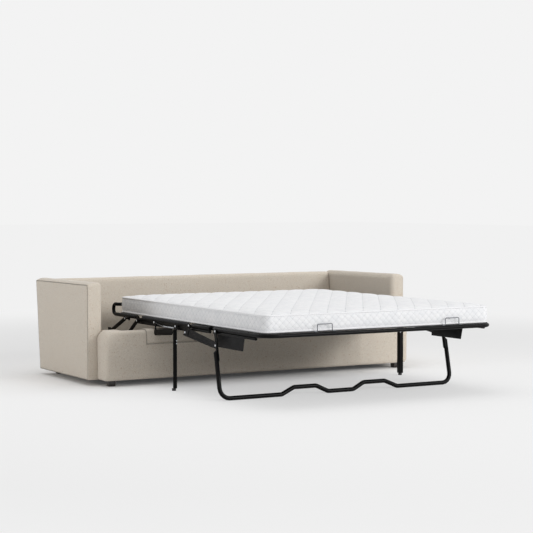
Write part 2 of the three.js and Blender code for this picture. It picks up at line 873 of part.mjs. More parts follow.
// Foot leg: one bent tube whose floor bar has two humps, hung from a flat strap on each side
function footLeg() {
  const along = (x, rise) => {
    const t = (legPivot.y - legFoot.y - rise) / (legPivot.y - legFoot.y);
    return v3(x, legPivot.x + (legFoot.x - legPivot.x) * t, legFoot.y + rise);
  };
  const startShare = 0.31; // down the leg, where the tube begins
  const strapShare = 0.42;
  const bend = legCorner * 0.75;
  const half = [
    { p: along(legLane, (legPivot.y - legFoot.y) * (1 - startShare)) },
    { p: along(legLane, 0), r: legCorner },
    { p: along(humpFoot, 0), r: bend },
    { p: along(humpOuter, humpRise), r: bend },
    { p: along(humpShoulder, humpRise), r: bend },
    { p: along(humpInner, 0), r: bend },
  ];
  const other = half.map(({ p, r }) => ({ p: v3(-p.x, p.y, p.z), r })).reverse();
  let body = tube(rounded([...half, ...other], 5), legTubeRadius);
  for (const side of [-1, 1]) {
    const strap = linkOutline(legPivot, legPivot.clone().lerp(legFoot, strapShare), legStrapWidth);
    hole(strap, legPivot, hingePin + pinPlay);
    body = body.add(plate(side, strap, legStrapLane, legStrapThickness));
  }
  return shaped(body);
}

// Middle leg: a steel angle on a plastic glide
function midLeg(side) {
  const low = glideHeight + gap;
  const high = midLegPivot.y + hingeEye;
  const x0 = midLegLane - midLegWidth / 2;
  const x1 = midLegLane + midLegWidth / 2;
  const y0 = midLegPivot.x - midLegDepth / 2;
  const y1 = midLegPivot.x + midLegDepth / 2;
  const web = sideBox(side, x0, x0 + midLegWall, y0, y1, low, high);
  const faceTop = high - hingeClear * Math.SQRT2;
  const face = sideBox(side, x0, x1, y0, y0 + midLegWall, low, faceTop);
  const bore = pin(side, midLegPivot, hingePin + pinPlay, x0 - overrun, x0 + midLegWall + overrun);
  const rivets = [0, midLegWall * 5].map((drop) => {
    const place = at(midLegPivot.x, midLegPivot.y - midLegTieDrop - drop);
    return pin(side, place, hingePin, x0, x0 + midLegWall + pinHead);
  });
  return shaped(unite(web, face, ...rivets).subtract(bore));
}

function glide(side) {
  const g = new THREE.CylinderGeometry(glideRadius, glideRadius, glideHeight, 12);
  g.rotateX(Math.PI / 2);
  g.translate(side * midLegLane, midLegPivot.x, glideHeight / 2);
  return shaped(solid(g));
}

// Fold channel: a pressed, tapered plate from the body rail to the foot leg
function channelEdges() {
  const [ahead, rise] = channelShoulder;
  const [behind, drop] = channelHeel;
  const lean = Math.atan2(legPin.y - channelPivot.y, legPin.x - channelPivot.x);
  const rim = at(0, channelFront / 2).rotateAround(at(0, 0), lean);
  const edge = (from, to) => (share) => from.clone().lerp(to, share);
  return {
    lean,
    upper: edge(at(channelPivot.x - ahead, channelPivot.y + rise), legPin.clone().sub(rim)),
    lower: edge(at(channelPivot.x + behind, channelPivot.y - drop), legPin.clone().add(rim)),
  };
}

function foldChannel(side) {
  const { lean, upper, lower } = channelEdges();
  const r = channelFront / 2;
  const outline = new THREE.Shape();
  outline.setFromPoints([lower(0), upper(0)]);
  outline.absarc(legPin.x, legPin.y, r, lean - Math.PI / 2, lean + Math.PI / 2);
  const marginShare = 0.14;
  const within = (a, b, t, share = marginShare) => a(t).lerp(b(t), share);
  const pan = new THREE.Shape([
    within(upper, lower, 0.05),
    within(upper, lower, 0.95),
    within(lower, upper, 0.95),
    within(lower, upper, 0.13),
  ]);
  const wall = channelDepth / 3;
  const floor = channelLane - channelDepth / 2 + wall;
  const open = channelLane + channelDepth / 2 + overrun;
  const middleShare = 0.45;
  const bead = linkOutline(
    within(upper, lower, 0.2, middleShare),
    within(upper, lower, 0.68, middleShare),
    channelFront / 4,
  );
  const boss = legStrapLane + legStrapThickness / 2 + (gap * 4) / 3;
  return shaped(
    plate(side, outline, channelLane, channelDepth)
      .subtract(prism(pan, side * floor, side * open, alongX))
      .add(prism(bead, side * (floor - gap), side * (floor + wall), alongX))
      .add(disc(side, channelPivot, hingeEye, channelLane, channelDepth))
      .subtract(pin(side, channelPivot, hingePin + pinPlay, channelLane - channelDepth, open))
      .add(pin(side, legPin, hingePin + pinHead, boss, channelLane)),
  );
}

// Mattress: one length of the quilted block between two cuts across the bed
const headCut = headHinge - 30;
const frontCut = frontHinge + 30;
const footCut = footHinge - 30;

// How far the plan is drawn in at a round corner, this far from the end
function cornerInset(distance) {
  const d = Math.max(0, cornerRadius - distance);
  return cornerRadius - Math.sqrt(cornerRadius ** 2 - d ** 2);
}

function mattressRing(y, j, cellsX, half, atEnd) {
  const crownShare = 0.16; // of the half width over which the crown falls
  const top = mattressBottom + borderHeight;
  const ring = [];
  for (let i = 0; i <= cellsX; i++) {
    const s = (2 * i) / cellsX - 1;
    const fall = Math.min(1, (1 - Math.abs(s)) / crownShare);
    const rise = atEnd ? 0 : crownHeight * Math.sin((Math.PI / 2) * fall);
    const flat = atEnd || i === 0 || i === cellsX;
    const puff = flat ? 0 : (i + j) % 2 ? quiltRelief : -quiltRelief;
    ring.push(v3((half - borderBulge) * s, y, top + rise + puff));
  }
  const borderShares = [0.75, 0.25];
  const right = borderShares.map((share) => [half, mattressBottom + borderHeight * share]);
  right.push([half - borderBulge * 2, mattressBottom]);
  for (const [x, z] of right) ring.push(v3(x, y, z));
  for (const [x, z] of right.reverse()) ring.push(v3(-x, y, z));
  return ring;
}

function mattressPiece(yLow, yHigh, roundLow, roundHigh) {
  const cellsX = 2 * Math.round(mattressWidth / quiltWidth);
  const cellsY = 2 * Math.round((yHigh - yLow) / quiltLength);
  const stations = [];
  for (let j = 0; j <= cellsY; j++) stations.push([yLow + ((yHigh - yLow) * j) / cellsY, j]);
  const cornerShares = [0.12, 0.45];
  if (roundLow) stations.splice(1, 0, ...cornerShares.map((c) => [yLow + cornerRadius * c, 1]));
  if (roundHigh)
    stations.splice(-1, 0, ...cornerShares.map((c) => [yHigh - cornerRadius * c, cellsY]).reverse());
  const rings = stations.map(([y, j], k) => {
    const low = roundLow ? cornerInset(y - yLow) : 0;
    const high = roundHigh ? cornerInset(yHigh - y) : 0;
    const atEnd = (roundLow && k === 0) || (roundHigh && k === stations.length - 1);
    return mattressRing(y, j, cellsX, halfMattress - low - high, atEnd);
  });
  return shaped(solid(skin(rings)));
}

// Assembly: each moving section is a group at its hinge
const root = new THREE.Group();
root.position.set(0, -bodyCentre, 0);

function section(parent, y, z) {
  const g = new THREE.Group();
  const place = v3(0, y, z);
  g.userData.place = place;
  g.position.copy(place).sub(parent.userData.place ?? v3(0, 0, 0));
  parent.add(g);
  return g;
}

function put(parent, name, geometry, [color, roughness, metalness]) {
  const place = parent.userData.place ?? v3(0, 0, 0);
  geometry.translate(-place.x, -place.y, -place.z);
  geometry.computeVertexNormals();
  const material = new THREE.MeshStandardMaterial({ color, roughness, metalness });
  const mesh = new THREE.Mesh(geometry, material);
  mesh.name = name;
  parent.add(mesh);
}

function pair(parent, name, make, finish) {
  put(parent, `${name}_left`, make(1), finish);
  put(parent, `${name}_right`, make(-1), finish);
}

function buildSofa() {
  pair(root, "arm", arm, fabric);
  put(root, "back", back(), fabric);
  put(root, "front_rail", frontRail(), fabric);
  put(root, "rail_flap", railFlap(), fabric);
  const frontFoot = railFront + footWidth * 1.4;
  const rearFoot = backOuter - footWidth;
  pair(root, "front_foot", (side) => sofaFoot(side, frontFoot), darkWood);
  pair(root, "rear_foot", (side) => sofaFoot(side, rearFoot), darkWood);
  pair(root, "side_board", sideBoard, plywood);
  pair(root, "side_deck", sideDeck, deckCloth);
  put(root, "dust_cover", dustCover(), deckCloth);
  pair(root, "mount_bracket", mountBracket, blackSteel);
}

function buildBed() {
  const lift = section(root, liftBase.x, liftBase.y);
  pair(lift, "lift_link", liftLink, blackSteel);
  put(lift, "torque_tube", torqueTube(), blackSteel);
  const headLinks = section(root, headLinkBase.x, headLinkBase.y);
  pair(headLinks, "head_link", headLink, blackSteel);

  const body = section(lift, liftTop.x, liftTop.y);
  const railInner = railLane - railWall / 2 - gap;
  const barHeight = framePlane - flangeWall - overrun - crossBarRadius;
  pair(body, "body_rail", bodyRail, blackSteel);
  const rearBar = liftTop.x - tubeRadius - crossBarRadius * 2.2;
  const frontBar = frontHinge + midLegReach - hingePin * 9;
  put(body, "body_cross_bar_rear", crossBar(rearBar, barHeight, railInner), blackSteel);
  put(body, "body_cross_bar_front", crossBar(frontBar, barHeight, railInner), blackSteel);
  put(body, "body_deck", bodyDeck(), deckCloth);
  pair(body, "assist_spring", assistSpring, brightSteel);
  put(body, "mattress_body", mattressPiece(frontCut + gap, headCut - gap, false, false), ticking);

  const controls = section(body, controlPivot.x, controlPivot.y);
  pair(controls, "control_link", controlLink, blackSteel);

  const head = section(body, headHinge, framePlane);
  const deckClear = hingeEye * 2;
  put(head, "head_frame", headFrame(), blackSteel);
  const headEnd = bowPlane - tubeRadius * 3;
  put(head, "head_deck", tubeDeck(headHinge + deckClear, headEnd, tubeRadius), deckCloth);
  put(head, "mattress_head", mattressPiece(headCut, mattressHead, false, true), ticking);

  const mid = section(body, frontHinge, framePlane);
  pair(mid, "mid_rail", midRail, blackSteel);
  const midInner = midBarLane - barThickness / 2 - gap;
  const midCentre = (frontHinge + footHinge) / 2;
  put(mid, "mid_cross_bar", crossBar(midCentre, framePlane - gap, midInner), blackSteel);
  put(mid, "mid_deck", midDeck(), deckCloth);
  put(mid, "mattress_fold", mattressPiece(footCut + gap, frontCut - gap, false, false), ticking);

  const foot = section(mid, footHinge, framePlane);
  put(foot, "foot_frame", footFrame(), blackSteel);
  pair(foot, "foot_lower_rail", footLowerRail, blackSteel);
  pair(foot, "side_plate", sidePlate, panelSteel);
  const footEnd = footBar + tubeRadius / 2;
  put(foot, "foot_deck", tubeDeck(footHinge - deckClear, footEnd, footCorner), deckCloth);
  put(foot, "retainer_left", retainer(halfMattress * retainerLeftShare), brightSteel);
  put(foot, "retainer_right", retainer(-halfMattress * retainerRightShare), brightSteel);
  put(foot, "mattress_foot", mattressPiece(mattressFoot, footCut - gap, true, false), ticking);

  const leg = section(foot, legPivot.x, legPivot.y);
  put(leg, "foot_leg", footLeg(), blackSteel);

  const legs = section(body, midLegPivot.x, midLegPivot.y);
  pair(legs, "mid_leg", midLeg, blackSteel);
  pair(legs, "leg_glide", glide, blackPlastic);

  const channels = section(body, channelPivot.x, channelPivot.y);
  pair(channels, "fold_channel", foldChannel, panelSteel);
}

buildSofa();
buildBed();

export default root;
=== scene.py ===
"""The sleeper sofa with its bed drawn out: upholstery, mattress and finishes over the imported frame.

Metres. Places along the bed are measured from the front plane of the arms and fall towards the foot.
"""

import json
import math

import bmesh
import bpy
import numpy as np
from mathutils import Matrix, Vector, noise

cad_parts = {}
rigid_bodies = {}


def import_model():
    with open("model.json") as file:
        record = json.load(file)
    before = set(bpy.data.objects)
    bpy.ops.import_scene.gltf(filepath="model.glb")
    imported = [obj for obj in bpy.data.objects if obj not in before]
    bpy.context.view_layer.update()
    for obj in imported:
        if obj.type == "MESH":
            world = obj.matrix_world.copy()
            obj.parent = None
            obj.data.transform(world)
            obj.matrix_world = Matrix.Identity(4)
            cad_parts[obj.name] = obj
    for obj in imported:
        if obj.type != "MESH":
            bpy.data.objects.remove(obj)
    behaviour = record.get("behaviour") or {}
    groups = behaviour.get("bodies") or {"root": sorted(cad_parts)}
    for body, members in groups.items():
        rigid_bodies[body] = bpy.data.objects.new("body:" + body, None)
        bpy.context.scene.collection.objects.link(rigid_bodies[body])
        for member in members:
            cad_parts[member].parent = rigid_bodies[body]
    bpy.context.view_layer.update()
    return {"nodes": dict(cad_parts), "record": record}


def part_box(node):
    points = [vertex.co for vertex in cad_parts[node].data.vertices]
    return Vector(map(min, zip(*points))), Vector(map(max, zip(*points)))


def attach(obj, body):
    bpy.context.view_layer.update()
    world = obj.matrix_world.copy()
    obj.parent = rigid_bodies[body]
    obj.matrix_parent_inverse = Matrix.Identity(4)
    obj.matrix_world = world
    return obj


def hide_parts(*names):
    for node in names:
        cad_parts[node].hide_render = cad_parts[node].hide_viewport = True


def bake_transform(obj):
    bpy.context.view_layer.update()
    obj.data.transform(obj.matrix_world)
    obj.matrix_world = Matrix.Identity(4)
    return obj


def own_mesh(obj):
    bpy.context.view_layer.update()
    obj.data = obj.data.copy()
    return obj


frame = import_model()
ARM_LOW, ARM_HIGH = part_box("arm_left")
ARM_FRONT = ARM_LOW.y


# Shader expressions
class Value:
    """A socket that takes part in Python expressions by adding Math nodes."""

    def __init__(self, nodes, socket):
        self.nodes, self.socket = nodes, socket

    def math(self, operation, *others):
        inputs = dict(enumerate((self, *others)))
        return self.nodes.node("ShaderNodeMath", {"operation": operation}, inputs)

    def __add__(self, other):
        return self.math("ADD", other)

    def __sub__(self, other):
        return self.math("SUBTRACT", other)

    def __rsub__(self, other):
        return self.math("MULTIPLY", -1).math("ADD", other)

    def __mul__(self, other):
        return self.math("MULTIPLY", other)

    def __truediv__(self, other):
        return self.math("DIVIDE", other)

    def __gt__(self, other):
        return self.math("GREATER_THAN", other)

    __radd__, __rmul__ = __add__, __mul__

    def smooth(self, low, high):
        """0 at low and 1 at high, with soft ends."""
        settings = {"interpolation_type": "SMOOTHSTEP"}
        ends = {"Value": self, "From Min": low, "From Max": high}
        return self.nodes.node("ShaderNodeMapRange", settings, ends)

    def ridge(self, period):
        """The distance to the nearest whole period, from 0 on it to 1 half way between."""
        return (self * (math.pi / period)).math("SINE").math("ABSOLUTE")


class Nodes:
    """The nodes of a material or of the world, all but the output made by one method."""

    def __init__(self, owner):
        owner.use_nodes = True
        self.tree = owner.node_tree
        self.tree.nodes.clear()

    def node(self, kind, settings=None, inputs=None, output=0):
        made = self.tree.nodes.new(kind)
        for name, value in (settings or {}).items():
            setattr(made, name, value)
        for name, value in (inputs or {}).items():
            socket = made.inputs[name]
            if isinstance(value, Value):
                self.tree.links.new(value.socket, socket)
            else:
                socket.default_value = value
        return Value(self, made.outputs[output])

    def end(self, shader, kind):
        made = self.tree.nodes.new(kind)
        self.tree.links.new(shader.socket, made.inputs["Surface"])

    def seen(self):
        """1 for the rays by which the floor and the backdrop are seen, and 0 for those that light."""
        rays = ("Is Camera Ray", "Is Glossy Ray", "Is Transmission Ray")
        direct, glossy, through = (self.node("ShaderNodeLightPath", output=ray) for ray in rays)
        return direct.math("MAXIMUM", glossy).math("MAXIMUM", through)


class Finish(Nodes):
    """A material on Object coordinates."""

    def __init__(self, name):
        self.material = bpy.data.materials.new(name)
        super().__init__(self.material)

    def place(self):
        return self.node("ShaderNodeTexCoord", output="Object")

    def parts(self, vector):
        split = self.node("ShaderNodeSeparateXYZ", None, {0: vector}).socket.node
        return [Value(self, out) for out in split.outputs]

    def speckle(self, where, scale, detail=2.0, roughness=0.5):
        inputs = {"Vector": where, "Scale": scale, "Detail": detail, "Roughness": roughness}
        return self.node("ShaderNodeTexNoise", None, inputs)

    def blend(self, share, a, b):
        """A colour between two, through the colour sockets of a Mix node."""
        a, b = ((*color, 1) if isinstance(color, tuple) else color for color in (a, b))
        return self.node("ShaderNodeMix", {"data_type": "RGBA"}, {0: share, 6: a, 7: b}, output=2)

    def bump(self, height, strength, distance):
        inputs = {"Height": height, "Strength": strength, "Distance": distance}
        return self.node("ShaderNodeBump", None, inputs)

    def surface(self, **inputs):
        named = {name.replace("_", " "): value for name, value in inputs.items()}
        for name, value in named.items():
            if isinstance(value, tuple) and len(value) == 3:
                named[name] = (*value, 1)
        self.end(self.node("ShaderNodeBsdfPrincipled", None, named), "ShaderNodeOutputMaterial")
        return self.material


def tone(red, green, blue):
    """A linear colour from one written in sRGB, 0 to 255."""
    return tuple(((c / 255 + 0.055) / 1.055) ** 2.4 for c in (red, green, blue))


# Finishes
# The cloth's colours: deep and pale threads, a warm cloud, the shade between threads, the tan flecks
FABRIC = (
    tone(190, 180, 167),
    tone(224, 216, 203),
    tone(210, 198, 182),
    tone(150, 140, 127),
    tone(160, 122, 88),
)
# Painted shade in the ticking's stitch grooves
PAINTED_GROOVE_SHADE = tone(176, 178, 183)
# Painted shade in the tufted dimples where stitch lines cross
PAINTED_TUFT_SHADE = tone(96, 98, 102)


def woven_fabric(name, lightness):
    """Flat tweed: warm greige with paler threads and a few tan flecks; a lower lightness gives a darker
    copy, used as painted shade in seams.
    """
    f = Finish(name)
    where = f.place()
    x, y, z = f.parts(where)
    nx, _, nz = f.parts(f.node("ShaderNodeTexCoord", output="Normal"))
    side, level = (n.math("ABSOLUTE").smooth(0.6, 0.8) for n in (nx, nz))
    u = x * (1 - side) + y * side
    v = z * (1 - level) + y * level
    pitch = 0.0021
    warp, weft = u.ridge(pitch), v.ridge(pitch)
    over = (u * (math.pi / pitch) + v * (math.pi / pitch)).math("SINE") > 0
    weave = warp * over + weft * (1 - over)
    slub = f.speckle(where, 420, 3, 0.6)
    cloudy = f.speckle(where, 38, 3, 0.6)
    fleck = f.speckle(where, 165, 1, 0.4).smooth(0.67, 0.73)
    deep, pale, warm, shade, tan = (tuple(c * lightness for c in color) for color in FABRIC)
    base = f.blend(slub.smooth(0.3, 0.7), deep, pale)
    base = f.blend(cloudy.smooth(0.3, 0.7) * 0.35, base, warm)
    base = f.blend((1 - weave) * 0.18, base, shade)
    base = f.blend(fleck * 0.65, base, tan)
    height = weave * 0.7 + slub * 0.6
    return f.surface(
        Base_Color=base,
        Roughness=slub * 0.1 + 0.86,
        Normal=f.bump(height, 0.45, 0.0006),
        Sheen_Weight=0.25,
        Sheen_Roughness=0.5,
        Specular_IOR_Level=0.2,
    )


def twisted_thread(name, deep, pale):
    """Sewing thread, a fine twist of two tones."""
    f = Finish(name)
    twist = f.speckle(f.place(), 900, 1)
    return f.surface(Base_Color=f.blend(twist, deep, pale), Roughness=twist * 0.1 + 0.7)


def ticking(name, across, along, groove, knit, pale, deep):
    """White quilted ticking: stitched diamonds on the piece's own map, over a fine knit, with painted shade
    in the stitch grooves and where they cross.
    """
    f = Finish(name)
    u, v, _ = f.parts(f.node("ShaderNodeUVMap", {"uv_map": "laid"}))
    a, b = u / across + v / along, u / across - v / along
    first, second = a.ridge(1), b.ridge(1)
    stitched = first.math("MINIMUM", second)
    line = 1 - stitched.smooth(0.0, groove)
    tuft_dimple_and_shade = 1 - first.math("MAXIMUM", second).smooth(0.02, 0.16)
    knitted = (u + v).ridge(knit) * (u - v).ridge(knit)
    where = f.place()
    soft = f.speckle(where, 26, 3, 0.55)
    fibre = f.speckle(where, 700, 2, 0.6)
    base = f.blend(soft.smooth(0.3, 0.7), pale, deep)
    # Grey along the stitch lines: painted shade in the quilting grooves
    base = f.blend(line * 0.6, base, PAINTED_GROOVE_SHADE)
    # Dark grey where the stitch lines cross: painted shade of the dimples, which the bump also sinks
    base = f.blend(tuft_dimple_and_shade * 0.7, base, PAINTED_TUFT_SHADE)
    height = (1 - line) * 1.0 + knitted * 0.2 + fibre * 0.12 - tuft_dimple_and_shade * 0.6
    return f.surface(
        Base_Color=base,
        Roughness=fibre * 0.12 + 0.72,
        Normal=f.bump(height, 0.5, 0.0012),
        Sheen_Weight=0.15,
        Specular_IOR_Level=0.25,
    )


def binding_tape():
    """Ribbed tape over the mattress's piped edge."""
    f = Finish("binding_tape")
    u, v, _ = f.parts(f.node("ShaderNodeUVMap", {"uv_map": "laid"}))
    rib = (u + v * 0.6).ridge(0.0016)
    base = f.blend(rib, tone(214, 215, 217), tone(240, 240, 241))
    return f.surface(Base_Color=base, Roughness=rib * -0.1 + 0.75, Normal=f.bump(rib, 0.4, 0.0004))


def enamelled_steel(name, deep, pale, rough, orange_peel):
    """Powder-coated steel, a little polished where it is handled."""
    f = Finish(name)
    where = f.place()
    grain = f.speckle(where, 1500, 2, 0.6)
    cloudy = f.speckle(where, 18, 4, 0.6)
    rub = f.speckle(where, 90, 4, 0.7).smooth(0.60, 0.74)
    base = f.blend(cloudy.smooth(0.35, 0.65), deep, pale)
    base = f.blend(rub * 0.2, base, tone(30, 30, 32))
    return f.surface(
        Base_Color=base,
        Roughness=cloudy * 0.16 + rub * -0.08 + rough,
        Normal=f.bump(grain, orange_peel, 0.0002),
        Specular_IOR_Level=0.1,
    )


def zinc_plate(name, pale, deep, rough):
    """Zinc plating with faint draw marks and duller spots."""
    f = Finish(name)
    where = f.place()
    drawn = f.node("ShaderNodeMapping", None, {"Vector": where, "Scale": (1, 0.08, 1)})
    marks = f.speckle(drawn, 1400, 2, 0.6)
    spots = f.speckle(where, 160, 3, 0.6)
    base = f.blend(spots.smooth(0.35, 0.7), pale, deep)
    return f.surface(
        Base_Color=base,
        Metallic=1.0,
        Roughness=spots * 0.2 + marks * 0.1 + rough,
        Normal=f.bump(marks, 0.15, 0.0001),
    )


def moulded_plastic():
    """Pebbled black plastic, paler where it is worn."""
    f = Finish("moulded_black_plastic")
    where = f.place()
    pebble = f.speckle(where, 1100, 1)
    worn = f.speckle(where, 60, 3).smooth(0.55, 0.7)
    base = f.blend(worn * 0.4, tone(30, 30, 31), tone(58, 58, 60))
    return f.surface(Base_Color=base, Roughness=pebble * 0.15 + 0.5, Normal=f.bump(pebble, 0.3, 0.0003))


def cambric():
    """Black spun cloth of the decks and the dust cover, pressed with small dots."""
    f = Finish("black_cambric")
    where = f.place()
    x, y, _ = f.parts(where)
    dots = (x + y).ridge(0.0042) * (x - y).ridge(0.0042)
    fibre = f.speckle(where, 260, 4, 0.7)
    base = f.blend(fibre.smooth(0.35, 0.65), tone(27, 27, 29), tone(52, 52, 55))
    return f.surface(
        Base_Color=base,
        Roughness=fibre * 0.15 + 0.78,
        Normal=f.bump(dots * 0.6 + fibre * 0.5, 0.5, 0.0006),
        Sheen_Weight=0.1,
    )


def wood(name, pale, deep, rough, grain_scale, coat):
    """Straight grain along the piece, with pores."""
    f = Finish(name)
    where = f.place()
    drawn = f.node("ShaderNodeMapping", None, {"Vector": where, "Scale": grain_scale})
    grain = f.speckle(drawn, 40, 5, 0.65)
    pores = f.speckle(drawn, 240, 2, 0.5).smooth(0.55, 0.7)
    base = f.blend(grain.smooth(0.32, 0.68), pale, deep)
    base = f.blend(pores * 0.35, base, tuple(c * 0.5 for c in deep))
    return f.surface(
        Base_Color=base,
        Roughness=grain * 0.15 + rough,
        Normal=f.bump(grain + pores * 0.4, 0.3, 0.0005),
        Coat_Weight=coat,
    )


# Quilting, shared by the mattress mesh and its ticking: half the width, the cells across and along
# it, the corners' radii, the ends along the bed, and the heights of its underside and its tape
TOP_HALF = 0.757
TOP_CELLS, ROWS, CELLS_A_DIAMOND = 232, 178, 18
CORNER, HEAD_CORNER = 0.046, 0.028
HEAD_END, FOOT_END = 0.395, -1.434
BASE, TAPE = 0.4079, 0.5059
DIAMOND_WIDE = 2 * TOP_HALF / TOP_CELLS * CELLS_A_DIAMOND
DIAMOND_LONG = (HEAD_END - FOOT_END - CORNER - HEAD_CORNER) / ROWS * CELLS_A_DIAMOND
BORDER_WIDE, BORDER_HIGH = 0.042, 0.040

fabric = woven_fabric("woven_greige", 1.0)
# A darker copy of the cloth: painted shade for the sewn grooves of the arms and the flap's edges
painted_seam_shade = woven_fabric("woven_greige_painted_shade", 0.56)
thread = twisted_thread("seam_thread", tone(150, 138, 122), tone(190, 178, 160))
# Dark grey for the knots: painted shade of the tufted dimples where stitch lines cross
knot_painted_shade = twisted_thread("knot_painted_shade", tone(84, 86, 90), tone(120, 122, 126))
top_colors = tone(238, 238, 239), tone(230, 231, 233)
# The border's ticking is a darker copy of the top's: painted shade for its upright sides
border_colors_painted_shade = tone(231, 231, 232), tone(223, 224, 226)
tick_top = ticking("ticking_top", DIAMOND_WIDE, DIAMOND_LONG, 0.06, 0.0026, *top_colors)
tick_side = ticking("ticking_border", BORDER_WIDE, BORDER_HIGH, 0.13, 0.0022, *border_colors_painted_shade)
tape = binding_tape()
black_steel = enamelled_steel("black_enamelled_steel", tone(3, 3, 4), tone(8, 8, 9), 0.32, 0.2)
plate_steel = enamelled_steel("grey_plate_steel", tone(24, 24, 25), tone(34, 34, 35), 0.42, 0.35)
zinc = zinc_plate("bright_zinc", tone(226, 228, 232), tone(188, 191, 196), 0.16)
wire = zinc_plate("dull_wire", tone(128, 130, 134), tone(96, 98, 102), 0.36)
plastic = moulded_plastic()
deck_cloth = cambric()
plywood = wood("birch_plywood", tone(206, 176, 134), tone(176, 140, 98), 0.55, (0.15, 2, 1), 0)
stained_wood = wood("dark_stained_wood", tone(36, 25, 21), tone(21, 14, 12), 0.34, (2, 2, 0.2), 0.3)

SLOT_FINISH = {
    "woven_fabric": fabric,
    "mattress_ticking": tick_top,
    "black_steel": black_steel,
    "panel_steel": plate_steel,
    "bright_steel": zinc,
    "black_plastic": plastic,
    "deck_cloth": deck_cloth,
    "plywood": plywood,
    "dark_wood": stained_wood,
}


# Meshes
def piece(name, points, faces, finishes, finish_of=None):
    """A mesh object at the origin with smooth faces."""
    mesh = bpy.data.meshes.new(name)
    points = np.asarray(points, float)
    mesh.from_pydata(points.tolist(), [], faces)
    for finish in finishes:
        mesh.materials.append(finish)
    if finish_of is not None:
        mesh.polygons.foreach_set("material_index", np.asarray(finish_of, np.int32))
    mesh.polygons.foreach_set("use_smooth", np.ones(len(faces), bool))
    mesh.update()
    made = bpy.data.objects.new(name, mesh)
    bpy.context.scene.collection.objects.link(made)
    return made


def outwards(points, faces):
    """The faces turned so that the closed shape's volume is positive."""
    points = np.asarray(points, float)
    volume = 0.0
    for face in faces:
        a = points[face[0]]
        for b, c in zip(face[1:-1], face[2:]):
            volume += float(np.dot(a, np.cross(points[b], points[c])))
    return faces if volume > 0 else [tuple(reversed(face)) for face in faces]


def lofted(name, rings, finishes, dark=()):
    """A closed skin through rings of equal length; the bands named in dark take the second finish."""
    rings = np.asarray(rings, float)
    count, size = rings.shape[:2]
    faces = []
    for r in range(count - 1):
        for k in range(size):
            following = (k + 1) % size
            low, high = r * size, (r + 1) * size
            faces.append((low + k, low + following, high + following, high + k))
    faces.append(tuple(reversed(range(size))))
    faces.append(tuple((count - 1) * size + k for k in range(size)))
    points = rings.reshape(-1, 3)
    finish_of = [int(n // size in dark) for n in range(len(faces))]
    return piece(name, points, outwards(points, faces), finishes, finish_of)


def rumpled(made, depth, scale, seed):
    """Small soft unevenness along the normals, as padding under cloth shows it."""
    mesh = made.data
    count = len(mesh.vertices)
    points, normals = np.empty(count * 3, np.float32), np.empty(count * 3, np.float32)
    mesh.vertices.foreach_get("co", points)
    mesh.vertices.foreach_get("normal", normals)
    points, normals = points.reshape(-1, 3), normals.reshape(-1, 3)
    shift = np.array((7.1, 3.3, 5.7)) * seed
    coarse, fine = points * scale + shift, points * scale * 2.3 + shift
    swell = [noise.noise(a) + 0.5 * noise.noise(b) for a, b in zip(coarse.tolist(), fine.tolist())]
    points += normals * (depth * np.array(swell, np.float32))[:, None]
    mesh.vertices.foreach_set("co", points.ravel())
    mesh.update()


def evaluated_mesh(made, name):
    """The object's shape with its modifiers, as a plain mesh in their place."""
    graph = bpy.context.evaluated_depsgraph_get()
    mesh = bpy.data.meshes.new_from_object(made.evaluated_get(graph))
    mesh.name = name
    made.modifiers.clear()
    made.data = mesh


# Arms: a flat outer panel sewn along its edge, a crowned top, a round inner edge
REAR_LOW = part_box("back")[0].y + 0.060
ARM_TOP = ARM_HIGH.z + 0.012
# How far the crowned top falls to the outer seam, stands back there, and falls towards the rear
SEAM_FALL, SEAM_BACK, REAR_FALL = 0.014, 0.0035, 0.007
ARM_CORNER, REAR_CORNER, INNER_EDGE = 0.017, 0.006, 0.034
# How far the panel's rings are drawn in, and how far they stand off the arm's outer face
SEAM = [(0.0008, -0.0034), (0.0030, -0.0042), (0.0050, -0.0016), (0.0085, 0.0002)]
SWELL = [(0.014, 0.0010), (0.03, 0.0019), (0.06, 0.0028), (0.1, 0.0035), (0.15, 0.0039), (0.22, 0.004)]


def arm_rear(z):
    """The arm's rear face leans back with its height."""
    return REAR_LOW + (ARM_HIGH.y - REAR_LOW) * (z - ARM_LOW.z) / (ARM_HIGH.z - ARM_LOW.z)


def arm_outline(front, top):
    """The arm seen from its side, from the front foot round over the top to the rear."""
    low, high = ARM_LOW.z, top - ARM_CORNER
    rise = np.concatenate([[0, 0.004, 0.012], np.linspace(0.03, 0.96, 40), [0.985, 1]])
    pts = [(front, low + (high - low) * t) for t in rise]
    for a in np.radians(np.linspace(172, 98, 7)):
        pts.append((front + ARM_CORNER + ARM_CORNER * math.cos(a), high + ARM_CORNER * math.sin(a)))
    first, last = front + ARM_CORNER, arm_rear(top) - REAR_CORNER
    across = [0, 0.004, *np.linspace(0.015, 0.985, 60), 0.996, 1]
    pts += [(first + (last - first) * t, top) for t in across]
    turn = 0.0017
    pts.append((arm_rear(top - turn) - turn, top - turn))
    pts += [(arm_rear(z), z) for z in np.linspace(top - REAR_CORNER, low, 44)]
    rear = arm_rear(low)
    pts += [(rear + (front - rear) * t, low) for t in np.linspace(0.01, 0.99, 60)]
    return np.array(pts)


